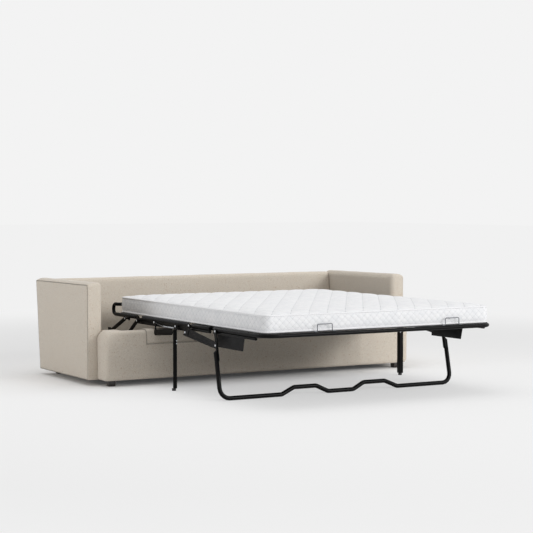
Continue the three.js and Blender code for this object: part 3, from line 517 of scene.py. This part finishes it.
def arm_ring(x, back, top, inset, side):
    """The outline at one place across the arm, drawn in all round by the inset."""
    front = ARM_FRONT + back
    y, full = arm_outline(front, top).T
    middle, half = (ARM_LOW.z + top) / 2, (top - ARM_LOW.z) / 2
    z = middle + (full - middle) * (half - inset) / half
    old_rear, rear = arm_rear(full), arm_rear(z)
    share = (y - (front + old_rear) / 2) / ((old_rear - front) / 2)
    y = (front + rear) / 2 + share * ((rear - front) / 2 - inset)
    behind = np.clip((y - ARM_FRONT) / (ARM_HIGH.y - ARM_FRONT), 0, 1)
    z -= REAR_FALL * behind * np.clip((z - ARM_LOW.z) / (top - ARM_LOW.z), 0, 1) ** 2
    return np.column_stack([np.full(len(z), side * x), y, z])


def keep_in(made, side):
    """No point of the cover goes inside the CAD arm's inner face or below its underside."""
    for v in made.data.vertices:
        if side * v.co.x < ARM_LOW.x:
            v.co.x = side * ARM_LOW.x
        v.co.z = max(v.co.z, ARM_LOW.z)


def arm(side):
    inner, outer = ARM_LOW.x, ARM_HIGH.x
    ridge = (inner + outer) / 2
    rings = [arm_ring(inner, 0, ARM_TOP, inset, side) for inset in (0.25, 0.2, 0.15, 0.1, 0.06, 0.04)]
    for a in np.radians(np.linspace(0, 90, 9)):
        drop = INNER_EDGE * (1 - math.sin(a))
        x = inner + INNER_EDGE * (1 - math.cos(a))
        rings.append(arm_ring(x, drop, ARM_TOP - drop, 0, side))
    for t in np.linspace(0.1, 1, 9):
        x = ridge + (outer - 0.0015 - ridge) * t
        rings.append(arm_ring(x, SEAM_BACK * t**2, ARM_TOP - SEAM_FALL * t**2, 0, side))
    first = len(rings) - 1
    for inset, proud in SEAM + SWELL:
        rings.append(arm_ring(outer + proud, SEAM_BACK, ARM_TOP - SEAM_FALL, inset, side))
    name = "left" if side > 0 else "right"
    # The three rings of the sewn groove take the darker copy, as painted shade
    made = lofted(f"arm_cover_{name}", rings, [fabric, painted_seam_shade], range(first, first + 3))
    rumpled(made, depth=0.0009, scale=9, seed=3 + side)
    keep_in(made, side)
    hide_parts(f"arm_{name}")
    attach(made, "sofa")


# Back and front rail: the CAD block's own shape, padded and softened
def padded_block(name, node, voxel, passes, depth, seed):
    mesh = frame["nodes"][node].data.copy()
    made = bpy.data.objects.new(name, mesh)
    bpy.context.scene.collection.objects.link(made)
    clean = bmesh.new()
    clean.from_mesh(mesh)
    bmesh.ops.remove_doubles(clean, verts=clean.verts, dist=1e-5)
    bmesh.ops.recalc_face_normals(clean, faces=clean.faces)
    clean.to_mesh(mesh)
    clean.free()
    remesh = made.modifiers.new("voxels", "REMESH")
    remesh.mode, remesh.voxel_size, remesh.use_smooth_shade = "VOXEL", voxel, True
    soften = made.modifiers.new("soften", "SMOOTH")
    soften.factor, soften.iterations = 0.5, passes
    evaluated_mesh(made, name)
    made.data.materials.clear()
    made.data.materials.append(fabric)
    rumpled(made, depth, scale=8, seed=seed)
    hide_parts(node)
    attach(made, "sofa")
    return made


RAIL_LOW, RAIL_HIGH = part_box("front_rail")
FLAP_LOW, FLAP_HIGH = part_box("rail_flap")
RAIL_THICK, RAIL_EDGE = 0.077, 0.022
FLAP_GAP, FLAP_THICK, HEM_LIFT = 0.0020, 0.0026, 0.0046
HEM_STEPS = (0.0085, 0.006, 0.003, 0)


def flap_path():
    """The flap's line over the rail, from its sewn rear edge to its hem."""
    top, front = RAIL_HIGH.z, RAIL_LOW.y
    rear = front + RAIL_THICK - 0.011
    line = [(rear + (front + RAIL_EDGE - rear) * t, top + FLAP_GAP) for t in np.linspace(0, 1, 8)]
    reach = RAIL_EDGE + FLAP_GAP
    for a in np.radians(np.linspace(8, 90, 10)):
        line.append((front + RAIL_EDGE - reach * math.sin(a), top - RAIL_EDGE + reach * math.cos(a)))
    low, high = FLAP_LOW.z, top - RAIL_EDGE
    line += [(front - FLAP_GAP, high + (low - high) * t) for t in np.linspace(0.06, 0.86, 14)]
    line += [(front - FLAP_GAP, low + d) for d in HEM_STEPS]
    return np.array(line)


def rail_flap_cloth():
    """The flap, with painted shade along its hem and sides, and its length along the line."""
    line = flap_path()
    length = float(np.linalg.norm(np.diff(line, axis=0), axis=1).sum())
    half = FLAP_HIGH.x
    across = np.concatenate([[-1, -0.998, -0.994], np.linspace(-0.99, 0.99, 150), [0.994, 0.998, 1]])
    # The rows up to this one lie on the rail's top and its rounded edge, and the others hang
    rounded = 17
    points, faces = [], []
    for r, (y, z) in enumerate(line):
        drop = max(0, r - rounded) / (len(line) - 1 - rounded)
        for s in across:
            x = s * half
            wave = math.sin(x * 9.2 + 1) * 0.5 + math.sin(x * 23 + 2) * 0.3 + math.sin(x * 3.7) * 0.6
            lift = drop * (HEM_LIFT + 0.0013 * wave)
            hem = 0.0007 if z - FLAP_LOW.z < 0.0086 and drop > 0 else 0
            side_hem = 0.0006 if abs(s) > 0.9905 else 0
            points.append((x, y - (lift + hem + side_hem) * (drop > 0), z + side_hem * (drop == 0)))
    wide = len(across)
    for r in range(len(line) - 1):
        for k in range(wide - 1):
            a = r * wide + k
            faces.append((a, a + wide, a + wide + 1, a + 1))
    # The faces along the hem and both sides take the darker cloth: a painted shadow line at the flap's
    # edges
    last, bands = len(line) - 2, (0, 1, wide - 3, wide - 2)
    painted_edge_shade = [int(n // (wide - 1) >= last - 1 or n % (wide - 1) in bands) for n in range(len(faces))]
    made = piece("rail_flap_cloth", points, faces, [fabric, painted_seam_shade], painted_edge_shade)
    thick = made.modifiers.new("thickness", "SOLIDIFY")
    thick.thickness, thick.offset = FLAP_THICK, 1
    evaluated_mesh(made, "rail_flap_cloth")
    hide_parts("rail_flap")
    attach(made, "sofa")
    return made, length


def dust_cover_front():
    """The dust cover goes on to the front rail's rear face."""
    low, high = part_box("dust_cover")
    half, hair = high.x - 0.010, 0.0003
    flat = [(-half, low.z + hair), (half, low.z + hair), (half, high.z - hair), (-half, high.z - hair)]
    rings = [[(x, y, z) for x, z in flat] for y in (RAIL_LOW.y + RAIL_THICK - 0.004, low.y - 0.0001)]
    made = lofted("dust_cover_front", rings, [deck_cloth])
    made.data.polygons.foreach_set("use_smooth", np.zeros(len(made.data.polygons), bool))
    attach(made, "sofa")


# Mattress: one quilted skin, cut across where the bed folds
# The top's crown and how far in it reaches, the plain edge, and the height of a puff and a pit
CROWN, CROWN_REACH, FLAT_EDGE, PUFF, PIT = 0.0125, 0.17, 0.035, 0.0052, 0.0022
# The tape's bead, the swell of the whole border and the height of its puffs
BEAD, BORDER_SWELL, BORDER_PUFF = 0.0045, 0.0026, 0.0022


def mattress_rows():
    """Places along the mattress, with each row's draw-in and outward direction at the corners."""
    turn = np.radians(np.linspace(0, 90, 11))

    def corner(end, radius, way):
        rows = []
        for a in turn:
            draw_in = radius * (1 - math.sin(a))
            rows.append((end - way * radius * (1 - math.cos(a)), draw_in, (math.sin(a), way * math.cos(a))))
        return rows

    foot, head = corner(FOOT_END, CORNER, -1), corner(HEAD_END, HEAD_CORNER, 1)
    straight = np.linspace(FOOT_END + CORNER, HEAD_END - HEAD_CORNER, ROWS + 1)[1:-1]
    return foot + [(y, 0.0, (1.0, 0.0)) for y in straight] + head[::-1]


def puff(a, b, fullness):
    return (np.abs(np.sin(np.pi * a)) * np.abs(np.sin(np.pi * b))) ** fullness


def mattress_top(x, y):
    """Height of the quilted top over the tape."""
    middle, half = (HEAD_END + FOOT_END) / 2, (HEAD_END - FOOT_END) / 2
    radius = np.where(y > middle, HEAD_CORNER, CORNER)
    qx, qy = np.abs(x) - (TOP_HALF - radius), np.abs(y - middle) - (half - radius)
    outside = np.hypot(np.maximum(qx, 0), np.maximum(qy, 0)) + np.minimum(np.maximum(qx, qy), 0)
    depth = np.maximum(radius - outside, 0)
    crown = CROWN * np.sin(np.pi / 2 * np.minimum(depth / CROWN_REACH, 1))
    a, b = x / DIAMOND_WIDE + y / DIAMOND_LONG, x / DIAMOND_WIDE - y / DIAMOND_LONG
    full = np.clip(depth / FLAT_EDGE, 0, 1)
    pit = np.exp(-((np.sin(np.pi * a) ** 2 + np.sin(np.pi * b) ** 2) / 0.03))
    uneven = 0.0009 * np.sin(x * 7.3 + 1) * np.sin(y * 5.1 + 2)
    return crown + full * (PUFF * puff(a, b, 0.42) - PIT * pit + uneven)


def border_profile():
    """Offsets and heights down the border, as (offset, height, share of quilting, finish)."""
    quilted, taped = 1, 2
    upper, lower, hollow, start = TAPE - 0.004, BASE + 0.0046, 0.0098, 0.0122

    def bead(middle, degrees):
        turn = np.radians(degrees)
        return [(0.0005 + BEAD * math.cos(a), middle + BEAD * math.sin(a), 0, taped) for a in turn]

    rows = [*bead(upper, [105, 72, 40, 8, -25, -58, -88]), (-0.0008, TAPE - hollow, 0, taped)]
    high, low = TAPE - start, BASE + start
    for h in np.linspace(0, 1, 17):
        swell = BORDER_SWELL * math.sin(math.pi * h) ** 0.6 if 0 < h < 1 else 0
        rows.append((0.0002 + swell, high + (low - high) * h, min(1, 5 * min(h, 1 - h)), quilted))
    rows += [(-0.0008, BASE + hollow, 0, taped), *bead(lower, [80, 50, 20, -10, -40, -70, -95])]
    rows.append((-0.008, BASE, 0, quilted))
    return rows


class Quilt:
    """The whole mattress as one grid of points, from which each length is cut."""

    def __init__(self):
        rows = mattress_rows()
        self.along = np.array([r[0] for r in rows])
        inset = np.array([r[1] for r in rows])
        self.last, self.wide = len(rows) - 1, TOP_CELLS
        share = np.linspace(-1, 1, self.wide + 1)
        x = share[None, :] * (TOP_HALF - inset)[:, None]
        y = np.repeat(self.along[:, None], self.wide + 1, axis=1)
        top = np.stack([x, y, TAPE + mattress_top(x, y)], axis=2).reshape(-1, 3)
        self.round = self.edge_loop()
        self.loop = len(self.round)
        self.profile = border_profile()
        edge = np.array([top[j * (self.wide + 1) + i] for j, i in self.round])
        out = np.array([self.direction(rows, j, i) for j, i in self.round])
        run = np.linalg.norm(np.diff(edge[:, :2], axis=0, append=edge[:1, :2]), axis=1)
        self.run = np.concatenate([[0], np.cumsum(run)])
        sides = [self.border_row(edge, out, *row[:3]) for row in self.profile]
        self.points = np.concatenate([top, *sides])
        self.first_side = len(top)

    def edge_loop(self):
        r, c = self.last, self.wide
        return (
            [(0, i) for i in range(c + 1)]
            + [(j, c) for j in range(1, r + 1)]
            + [(r, i) for i in range(c - 1, -1, -1)]
            + [(j, 0) for j in range(r - 1, 0, -1)]
        )

    def direction(self, rows, j, i):
        """Outwards at a place on the top's edge: across, along."""
        nx, ny = rows[j][2]
        across = nx if i == self.wide else -nx if i == 0 else 0.0
        at_edge = j in (0, self.last) or i in (0, self.wide)
        return across, ny if at_edge else 0.0

    def border_row(self, edge, out, offset, height, quilted):
        u = self.run[:-1]
        a, b = u / BORDER_WIDE + height / BORDER_HIGH, u / BORDER_WIDE - height / BORDER_HIGH
        reach = offset + quilted * BORDER_PUFF * puff(a, b, 0.45)
        return np.column_stack([edge[:, :2] + out * reach[:, None], np.full(len(edge), height)])

    def at_top(self, j, i):
        return j * (self.wide + 1) + i

    def at_side(self, k, loop):
        """Point k down the border, where 0 is the top's own edge."""
        loop %= self.loop
        if k == 0:
            return self.at_top(*self.round[loop])
        return self.first_side + (k - 1) * self.loop + loop

    def right(self, j):
        return self.wide + j

    def left(self, j):
        return (2 * self.wide + 2 * self.last - j) % self.loop

    def skin(self, low, high):
        """Faces of the quilted skin between two rows: (points, finish, map)."""
        made = []
        for j in range(low, high):
            for i in range(self.wide):
                corners = ((j, i), (j, i + 1), (j + 1, i + 1), (j + 1, i))
                ring = [self.at_top(*corner) for corner in corners]
                made.append((ring, 0, [tuple(self.points[p][:2]) for p in ring]))
        loops = [self.right(j) for j in range(low, high)] + [self.left(j + 1) for j in range(low, high)]
        if low == 0:
            loops += range(self.wide)
        if high == self.last:
            loops += range(self.wide + self.last, 2 * self.wide + self.last)
        heights = [TAPE] + [row[1] for row in self.profile]
        for loop in loops:
            for k in range(len(self.profile)):
                corners = ((k, loop), (k + 1, loop), (k + 1, loop + 1), (k, loop + 1))
                ring = [self.at_side(*corner) for corner in corners]
                u0, u1 = self.run[loop], self.run[loop + 1]
                spread = [(u0, heights[k]), (u0, heights[k + 1]), (u1, heights[k + 1]), (u1, heights[k])]
                made.append((ring, self.profile[k][3], spread))
        return made

    def closing(self, low, high):
        """The flat underside and the cut faces of a length."""
        depth = len(self.profile)
        under = []
        for j in range(low, high):
            if j == 0:
                ring = [self.at_side(depth, self.left(1)), self.at_side(depth, self.right(1))]
                ring += [self.at_side(depth, i) for i in range(self.wide, -1, -1)]
            elif j == self.last - 1:
                ring = [self.at_side(depth, self.right(j)), self.at_side(depth, self.left(j))]
                start = self.wide + self.last
                ring += [self.at_side(depth, start + i) for i in range(self.wide, -1, -1)]
            else:
                ring = [
                    self.at_side(depth, self.left(j)),
                    self.at_side(depth, self.left(j + 1)),
                    self.at_side(depth, self.right(j + 1)),
                    self.at_side(depth, self.right(j)),
                ]
            under.append(ring)
        for j, forward in ((low, False), (high, True)):
            if j in (0, self.last):
                continue
            ring = [self.at_top(j, i) for i in range(self.wide + 1)]
            ring += [self.at_side(k, self.right(j)) for k in range(1, depth + 1)]
            ring += [self.at_side(k, self.left(j)) for k in range(depth, 0, -1)]
            under.append(ring if forward else ring[::-1])
        return [(ring, 1, [tuple(self.points[p][:2]) for p in ring]) for ring in under]

    def normals(self):
        """Point normals of the whole skin, so that the cuts don't show."""
        total = np.zeros_like(self.points)
        quads = np.array([f[0] for f in self.skin(0, self.last)])
        a, b, c, d = (self.points[quads[:, k]] for k in range(4))
        face = np.cross(c - a, d - b)
        for k in range(4):
            np.add.at(total, quads[:, k], face)
        return total / np.maximum(np.linalg.norm(total, axis=1, keepdims=True), 1e-12)

    def crossings(self, low, high):
        """Where the top's stitch lines cross, between two rows."""
        margin, from_cut, rise, found = 0.034, 0.004, 0.0006, []
        for m in range(-40, 41):
            for n in range(-40, 41):
                x, y = (m + n) * DIAMOND_WIDE / 2, (m - n) * DIAMOND_LONG / 2
                inside = abs(x) < TOP_HALF - margin and FOOT_END + margin < y < HEAD_END - margin
                if inside and self.along[low] + from_cut < y < self.along[high] - from_cut:
                    height = TAPE + float(mattress_top(np.array(x), np.array(y)))
                    found.append((x, ARM_FRONT + y, height + rise))
        return found

    def row_near(self, y):
        return int(np.argmin(np.abs(self.along - y)))


def mattress_length(quilt, normals, name, low, high, node):
    """One closed length of the mattress between two rows."""
    skin, rest = quilt.skin(low, high), quilt.closing(low, high)
    faces = skin + rest
    used = sorted({p for face in faces for p in face[0]})
    index = {p: n for n, p in enumerate(used)}
    points = quilt.points[used].copy()
    points[:, 1] += ARM_FRONT
    rings = [tuple(index[p] for p in face[0]) for face in faces]
    made = piece(name, points, rings, [tick_top, tick_side, tape], [face[1] for face in faces])
    mesh = made.data
    laid = mesh.uv_layers.new(name="laid")
    spread = [uv for face in faces for uv in face[2]]
    laid.data.foreach_set("uv", np.array(spread, np.float32).ravel())
    flat = [tuple(mesh.polygons[len(skin) + n].normal) for n in range(len(rest))]
    shown = [tuple(normals[p]) for face in skin for p in face[0]]
    shown += [flat[n] for n, face in enumerate(rest) for _ in face[0]]
    mesh.normals_split_custom_set(shown)
    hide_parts(node)
    return made


def mattress():
    quilt = Quilt()
    normals = quilt.normals()
    cuts = (-1.010, -0.7325, -0.450, -0.060, 0.245)
    fold_foot, fold_middle, fold_front, head_cut, head_bend = (quilt.row_near(y) for y in cuts)
    # Small raised knots where the top's stitch lines cross, dark grey as painted shade of the dimples
    tree = button_tree("quilt_knots_painted_shade", axis=2, segments=10, finish=knot_painted_shade)
    knot_size = {"Radius": 0.0034, "Height": 0.0019}

    def flattened(made):
        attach(made, "head_section")
        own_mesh(made)

    def riding(body):
        return lambda made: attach(made, body)

    def bent():
        return lambda made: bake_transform(made)

    bend_front = bent()
    bend_rear = bent()
    bend_head = bent()
    lengths = [
        ("mattress_foot_length", 0, fold_foot, "mattress_foot", riding("foot_section")),
        ("mattress_fold_front", fold_foot, fold_middle, "mattress_fold", bend_front),
        ("mattress_fold_rear", fold_middle, fold_front, "mattress_fold", bend_rear),
        ("mattress_body_length", fold_front, head_cut, "mattress_body", riding("body_section")),
        ("mattress_head_length", head_cut, head_bend, "mattress_head", bend_head),
        ("mattress_head_end", head_bend, quilt.last, "mattress_head", flattened),
    ]
    for name, low, high, node, carry in lengths:
        made = mattress_length(quilt, normals, name, low, high, node)
        carry(made)
        knots = tree.run(f"{name}_knots", quilt.crossings(low, high), [], knot_size)
        carry(knots)


# Geometry Nodes for what repeats
class Tree:
    """A node tree that makes repeated small pieces from points or a line."""

    def __init__(self, name, sizes):
        self.group = bpy.data.node_groups.new(name, "GeometryNodeTree")
        face = self.group.interface
        face.new_socket("Geometry", in_out="INPUT", socket_type="NodeSocketGeometry")
        self.ids = {}
        for label, value in sizes.items():
            socket = face.new_socket(label, in_out="INPUT", socket_type="NodeSocketFloat")
            socket.default_value = value
            self.ids[label] = socket.identifier
        face.new_socket("Geometry", in_out="OUTPUT", socket_type="NodeSocketGeometry")
        self.entry = self.group.nodes.new("NodeGroupInput")
        self.exit = self.group.nodes.new("NodeGroupOutput")

    def size(self, label):
        return self.entry.outputs[label]

    def node(self, kind, settings=None, inputs=None):
        made = self.group.nodes.new(kind)
        for name, value in (settings or {}).items():
            setattr(made, name, value)
        for name, value in (inputs or {}).items():
            if isinstance(value, bpy.types.NodeSocket):
                self.group.links.new(value, made.inputs[name])
            else:
                made.inputs[name].default_value = value
        return made

    def close(self, instances, finish):
        real = self.node("GeometryNodeRealizeInstances", None, {0: instances})
        painted = self.node("GeometryNodeSetMaterial", None, {"Geometry": real.outputs[0]})
        painted.inputs["Material"].default_value = finish
        self.group.links.new(painted.outputs[0], self.exit.inputs[0])

    def run(self, name, points, edges, sizes):
        """A plain mesh of what the tree makes from these points."""
        mesh = bpy.data.meshes.new(name)
        mesh.from_pydata([tuple(p) for p in points], edges, [])
        made = bpy.data.objects.new(name, mesh)
        bpy.context.scene.collection.objects.link(made)
        modifier = made.modifiers.new("repeat", "NODES")
        modifier.node_group = self.group
        for label, value in sizes.items():
            modifier[self.ids[label]] = value
        evaluated_mesh(made, name)
        made.data.polygons.foreach_set("use_smooth", np.ones(len(made.data.polygons), bool))
        return made


def button_tree(name, axis, segments, finish):
    """Round heads on points, flat along one axis."""
    tree = Tree(name, {"Radius": 0.006, "Height": 0.0025})
    head = tree.node("GeometryNodeMeshUVSphere", None, {"Segments": segments, "Rings": 8, "Radius": 1.0})
    sizes = {n: tree.size("Height" if n == axis else "Radius") for n in range(3)}
    size = tree.node("ShaderNodeCombineXYZ", None, sizes)
    dots = tree.node("GeometryNodeMeshToPoints", None, {0: tree.size("Geometry")})
    many = tree.node(
        "GeometryNodeInstanceOnPoints",
        None,
        {"Points": dots.outputs[0], "Instance": head.outputs[0], "Scale": size.outputs[0]},
    )
    tree.close(many.outputs[0], finish)
    return tree


def stitch_tree():
    """Short threads laid end to end along a line."""
    tree = Tree("stitches", {"Spacing": 0.005, "Length": 0.0032, "Thread": 0.0005})
    line = tree.node("GeometryNodeMeshToCurve", None, {0: tree.size("Geometry")})
    spread = {"Curve": line.outputs[0], "Length": tree.size("Spacing")}
    dots = tree.node("GeometryNodeResampleCurve", {"mode": "LENGTH"}, spread)
    tangent = tree.node("GeometryNodeInputTangent")
    turned = tree.node("FunctionNodeAlignRotationToVector", {"axis": "Z"}, {"Vector": tangent.outputs[0]})
    stitch = tree.node(
        "GeometryNodeMeshCylinder",
        None,
        {"Vertices": 6, "Radius": tree.size("Thread"), "Depth": tree.size("Length")},
    )
    many = tree.node(
        "GeometryNodeInstanceOnPoints",
        None,
        {"Points": dots.outputs[0], "Instance": stitch.outputs[0], "Rotation": turned.outputs[0]},
    )
    tree.close(many.outputs[0], thread)
    return tree


def pivot(joint):
    """A joint's place seen from the side: along the bed from the arms' front, and up."""
    y, z = next(j["pos_m"][1:] for j in frame["record"]["behaviour"]["joints"] if j["name"] == joint)
    return y - ARM_FRONT, z


# The leg's pivot, and how far along and up it runs from there to the floor bar
LEG_PIVOT, LEG_RUN = pivot("foot_leg_fold"), (-0.081, -0.3715)


def on_leg(share):
    """A place down the foot leg, as a share of its run."""
    return LEG_PIVOT[0] + LEG_RUN[0] * share, LEG_PIVOT[1] + LEG_RUN[1] * share


def rivets():
    """Zinc rivet heads on the pivots that show, one mesh for each body."""
    tree = button_tree("rivet_heads", axis=0, segments=14, finish=zinc)
    head, tie = {"Radius": 0.0062, "Height": 0.0024}, {"Radius": 0.0046, "Height": 0.0046}
    # How far out a pin's face stands, then its place from the side
    places = {
        "mid_section": [(0.7868, *pivot("mid_fold"))],
        "foot_section": [(0.7896, *LEG_PIVOT)],
        "fold_channels": [(0.7968, *on_leg(0.21))],
        "body_section": [
            (0.7975, *pivot("control_fold")),
            (0.8026, *pivot("mid_leg_fold")),
            (0.7975, *pivot("channel_fold")),
        ],
        "lift_links": [(0.8048, *pivot("body_level"))],
        "head_links": [(0.8113, 0.225, 0.380)],
    }
    ties = [(0.8005, -0.4762, 0.296), (0.8005, -0.4762, 0.279)]
    heads = [(body, spots, head) for body, spots in places.items()]
    for body, spots, sizes in [*heads, ("mid_legs", ties, tie)]:
        points = [(s * x, ARM_FRONT + y, z) for s in (-1, 1) for x, y, z in spots]
        made = tree.run(f"rivets_{body}", points, [], sizes)
        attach(made, body)


def leg_end(side):
    """The foot leg's tube pressed flat where it meets its strap."""
    middle, radius, inwards = 0.7970, 0.0124, 0.0100
    thinner, narrower = 0.0098, 0.0006
    lean = math.atan2(LEG_RUN[0], LEG_RUN[1])
    rings = []
    for t in np.linspace(0, 1, 7):
        y, z = on_leg(0.316 - 0.051 * t)
        ease = t * t * (3 - 2 * t)
        x, deep, wide = middle - inwards * ease, radius - thinner * ease, radius - narrower * ease
        ring = []
        for a in np.linspace(0, 2 * math.pi, 24, endpoint=False):
            over = wide * math.sin(a)
            along, up = over * -math.cos(lean), over * math.sin(lean)
            ring.append((side * (x + deep * math.cos(a)), ARM_FRONT + y + along, z + up))
        rings.append(ring)
    made = lofted("leg_end_left" if side > 0 else "leg_end_right", rings, [black_steel])
    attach(made, "foot_leg")


def flap_stitches():
    """The sewn hem of the flap."""
    tree = stitch_tree()
    half = FLAP_HIGH.x - 0.010
    hem = FLAP_LOW.z + 0.010
    front = RAIL_LOW.y - FLAP_GAP - HEM_LIFT - FLAP_THICK - 0.0002
    points = [(-half, front, hem), (half, front, hem)]
    made = tree.run("flap_hem_stitches", points, [(0, 1)], {"Spacing": 0.0052})
    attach(made, "sofa")
    return made


# CAD pieces that stay: welded, softened at their edges and finished
def dress_nodes():
    slots = {s["node"]: s["material_slot"] for s in frame["record"]["subparts"]}
    for name, node in frame["nodes"].items():
        if node.hide_render:
            continue
        node.data.materials.clear()
        node.data.materials.append(wire if name.startswith("retainer") else SLOT_FINISH[slots[name]])
        node.data.polygons.foreach_set("use_smooth", np.ones(len(node.data.polygons), bool))
        custom = node.data.attributes.get("custom_normal")
        if custom:
            node.data.attributes.remove(custom)
        weld = node.modifiers.new("weld", "WELD")
        weld.merge_threshold = 0.00002
        if name in ("assist_spring_left", "assist_spring_right"):
            continue
        bevel = node.modifiers.new("edges", "BEVEL")
        bevel.width, bevel.segments = 0.0006, 2
        bevel.limit_method, bevel.angle_limit = "ANGLE", math.radians(40)
        bevel.use_clamp_overlap = True
        split = node.modifiers.new("creases", "EDGE_SPLIT")
        split.split_angle = math.radians(42)


# Floor, light and camera
def floor():
    """A white floor that turns into glow far out, and partly so before the sofa where it is seen; that glow
    before the sofa is painted light on the sofa's cast shadow.
    """
    f = Finish("studio_floor")
    x, y, _ = f.parts(f.place())
    away = (x * x + (y - 0.5) * (y - 0.5)).math("SQRT").smooth(1.9, 6.0)
    # Painted light: the floor glows more before the sofa, which lightens the sofa's cast shadow there, and
    # only a little under it
    painted_floor_light = (y.smooth(ARM_FRONT + 0.05, ARM_FRONT - 0.5) * 0.50 + 0.04) * f.seen()
    plain = f.node("ShaderNodeBsdfDiffuse", None, {"Color": (*tone(247, 247, 247), 1)})
    glow = f.node("ShaderNodeEmission", None, {"Color": (*tone(241, 241, 241), 1), "Strength": 1.0})
    both = f.node("ShaderNodeMixShader", None, {0: away.math("MAXIMUM", painted_floor_light), 1: plain, 2: glow})
    f.end(both, "ShaderNodeOutputMaterial")
    points = [(-40, -30, 0), (40, -30, 0), (40, 60, 0), (-40, 60, 0)]
    made = piece("studio_floor", points, [(0, 1, 2, 3)], [f.material])


def world():
    """A pale backdrop where it is seen, and a white fill for the rays that light."""
    made = bpy.data.worlds.new("studio")
    nodes = Nodes(made)
    backdrop = nodes.node("ShaderNodeBackground", None, {"Color": (*tone(243, 243, 243), 1)})
    fill = nodes.node("ShaderNodeBackground", None, {"Color": (1, 1, 1, 1), "Strength": 0.50})
    both = nodes.node("ShaderNodeMixShader", None, {0: nodes.seen(), 1: fill, 2: backdrop})
    nodes.end(both, "ShaderNodeOutputWorld")
    bpy.context.scene.world = made


def lamp(name, place, target, size, power):
    data = bpy.data.lights.new(name, "AREA")
    data.shape, data.size, data.energy = "SQUARE", size, power
    made = bpy.data.objects.new(name, data)
    made.location = place
    made.rotation_euler = (Vector(target) - Vector(place)).to_track_quat("-Z", "Y").to_euler()
    bpy.context.scene.collection.objects.link(made)


def camera():
    """The camera that was solved from the photo with the mattress's size."""
    down, heading = 2.4665, -30.114
    data = bpy.data.cameras.new("view")
    data.sensor_width, data.lens = 36, 102.80
    data.clip_end = 200
    made = bpy.data.objects.new("view", data)
    made.location = (-4.8160, -8.1342, 1.1163)
    made.rotation_euler = (math.radians(90 - down), 0, math.radians(heading))
    bpy.context.scene.collection.objects.link(made)
    bpy.context.scene.camera = made


arm(1)
arm(-1)
padded_block("back_cover", "back", voxel=0.008, passes=10, depth=0.0014, seed=5)
rail = padded_block("front_rail_cover", "front_rail", voxel=0.0065, passes=8, depth=0.0010, seed=8)
flap, flap_length = rail_flap_cloth()
hem = flap_stitches()
dust_cover_front()
mattress()
rivets()
leg_end(1)
leg_end(-1)
dress_nodes()
floor()
world()
camera()
lamp("key", place=(6.5, -12.0, 4.8), target=(0, 0.4, 0.4), size=4.6, power=1080)
lamp("top", place=(-0.5, 0.6, 6.0), target=(0, 0.2, 0), size=5.0, power=115)
lamp("left", place=(-6.0, 1.0, 1.6), target=(0, 0.6, 0.3), size=3.0, power=31)
bpy.context.scene.view_settings.view_transform = "Standard"
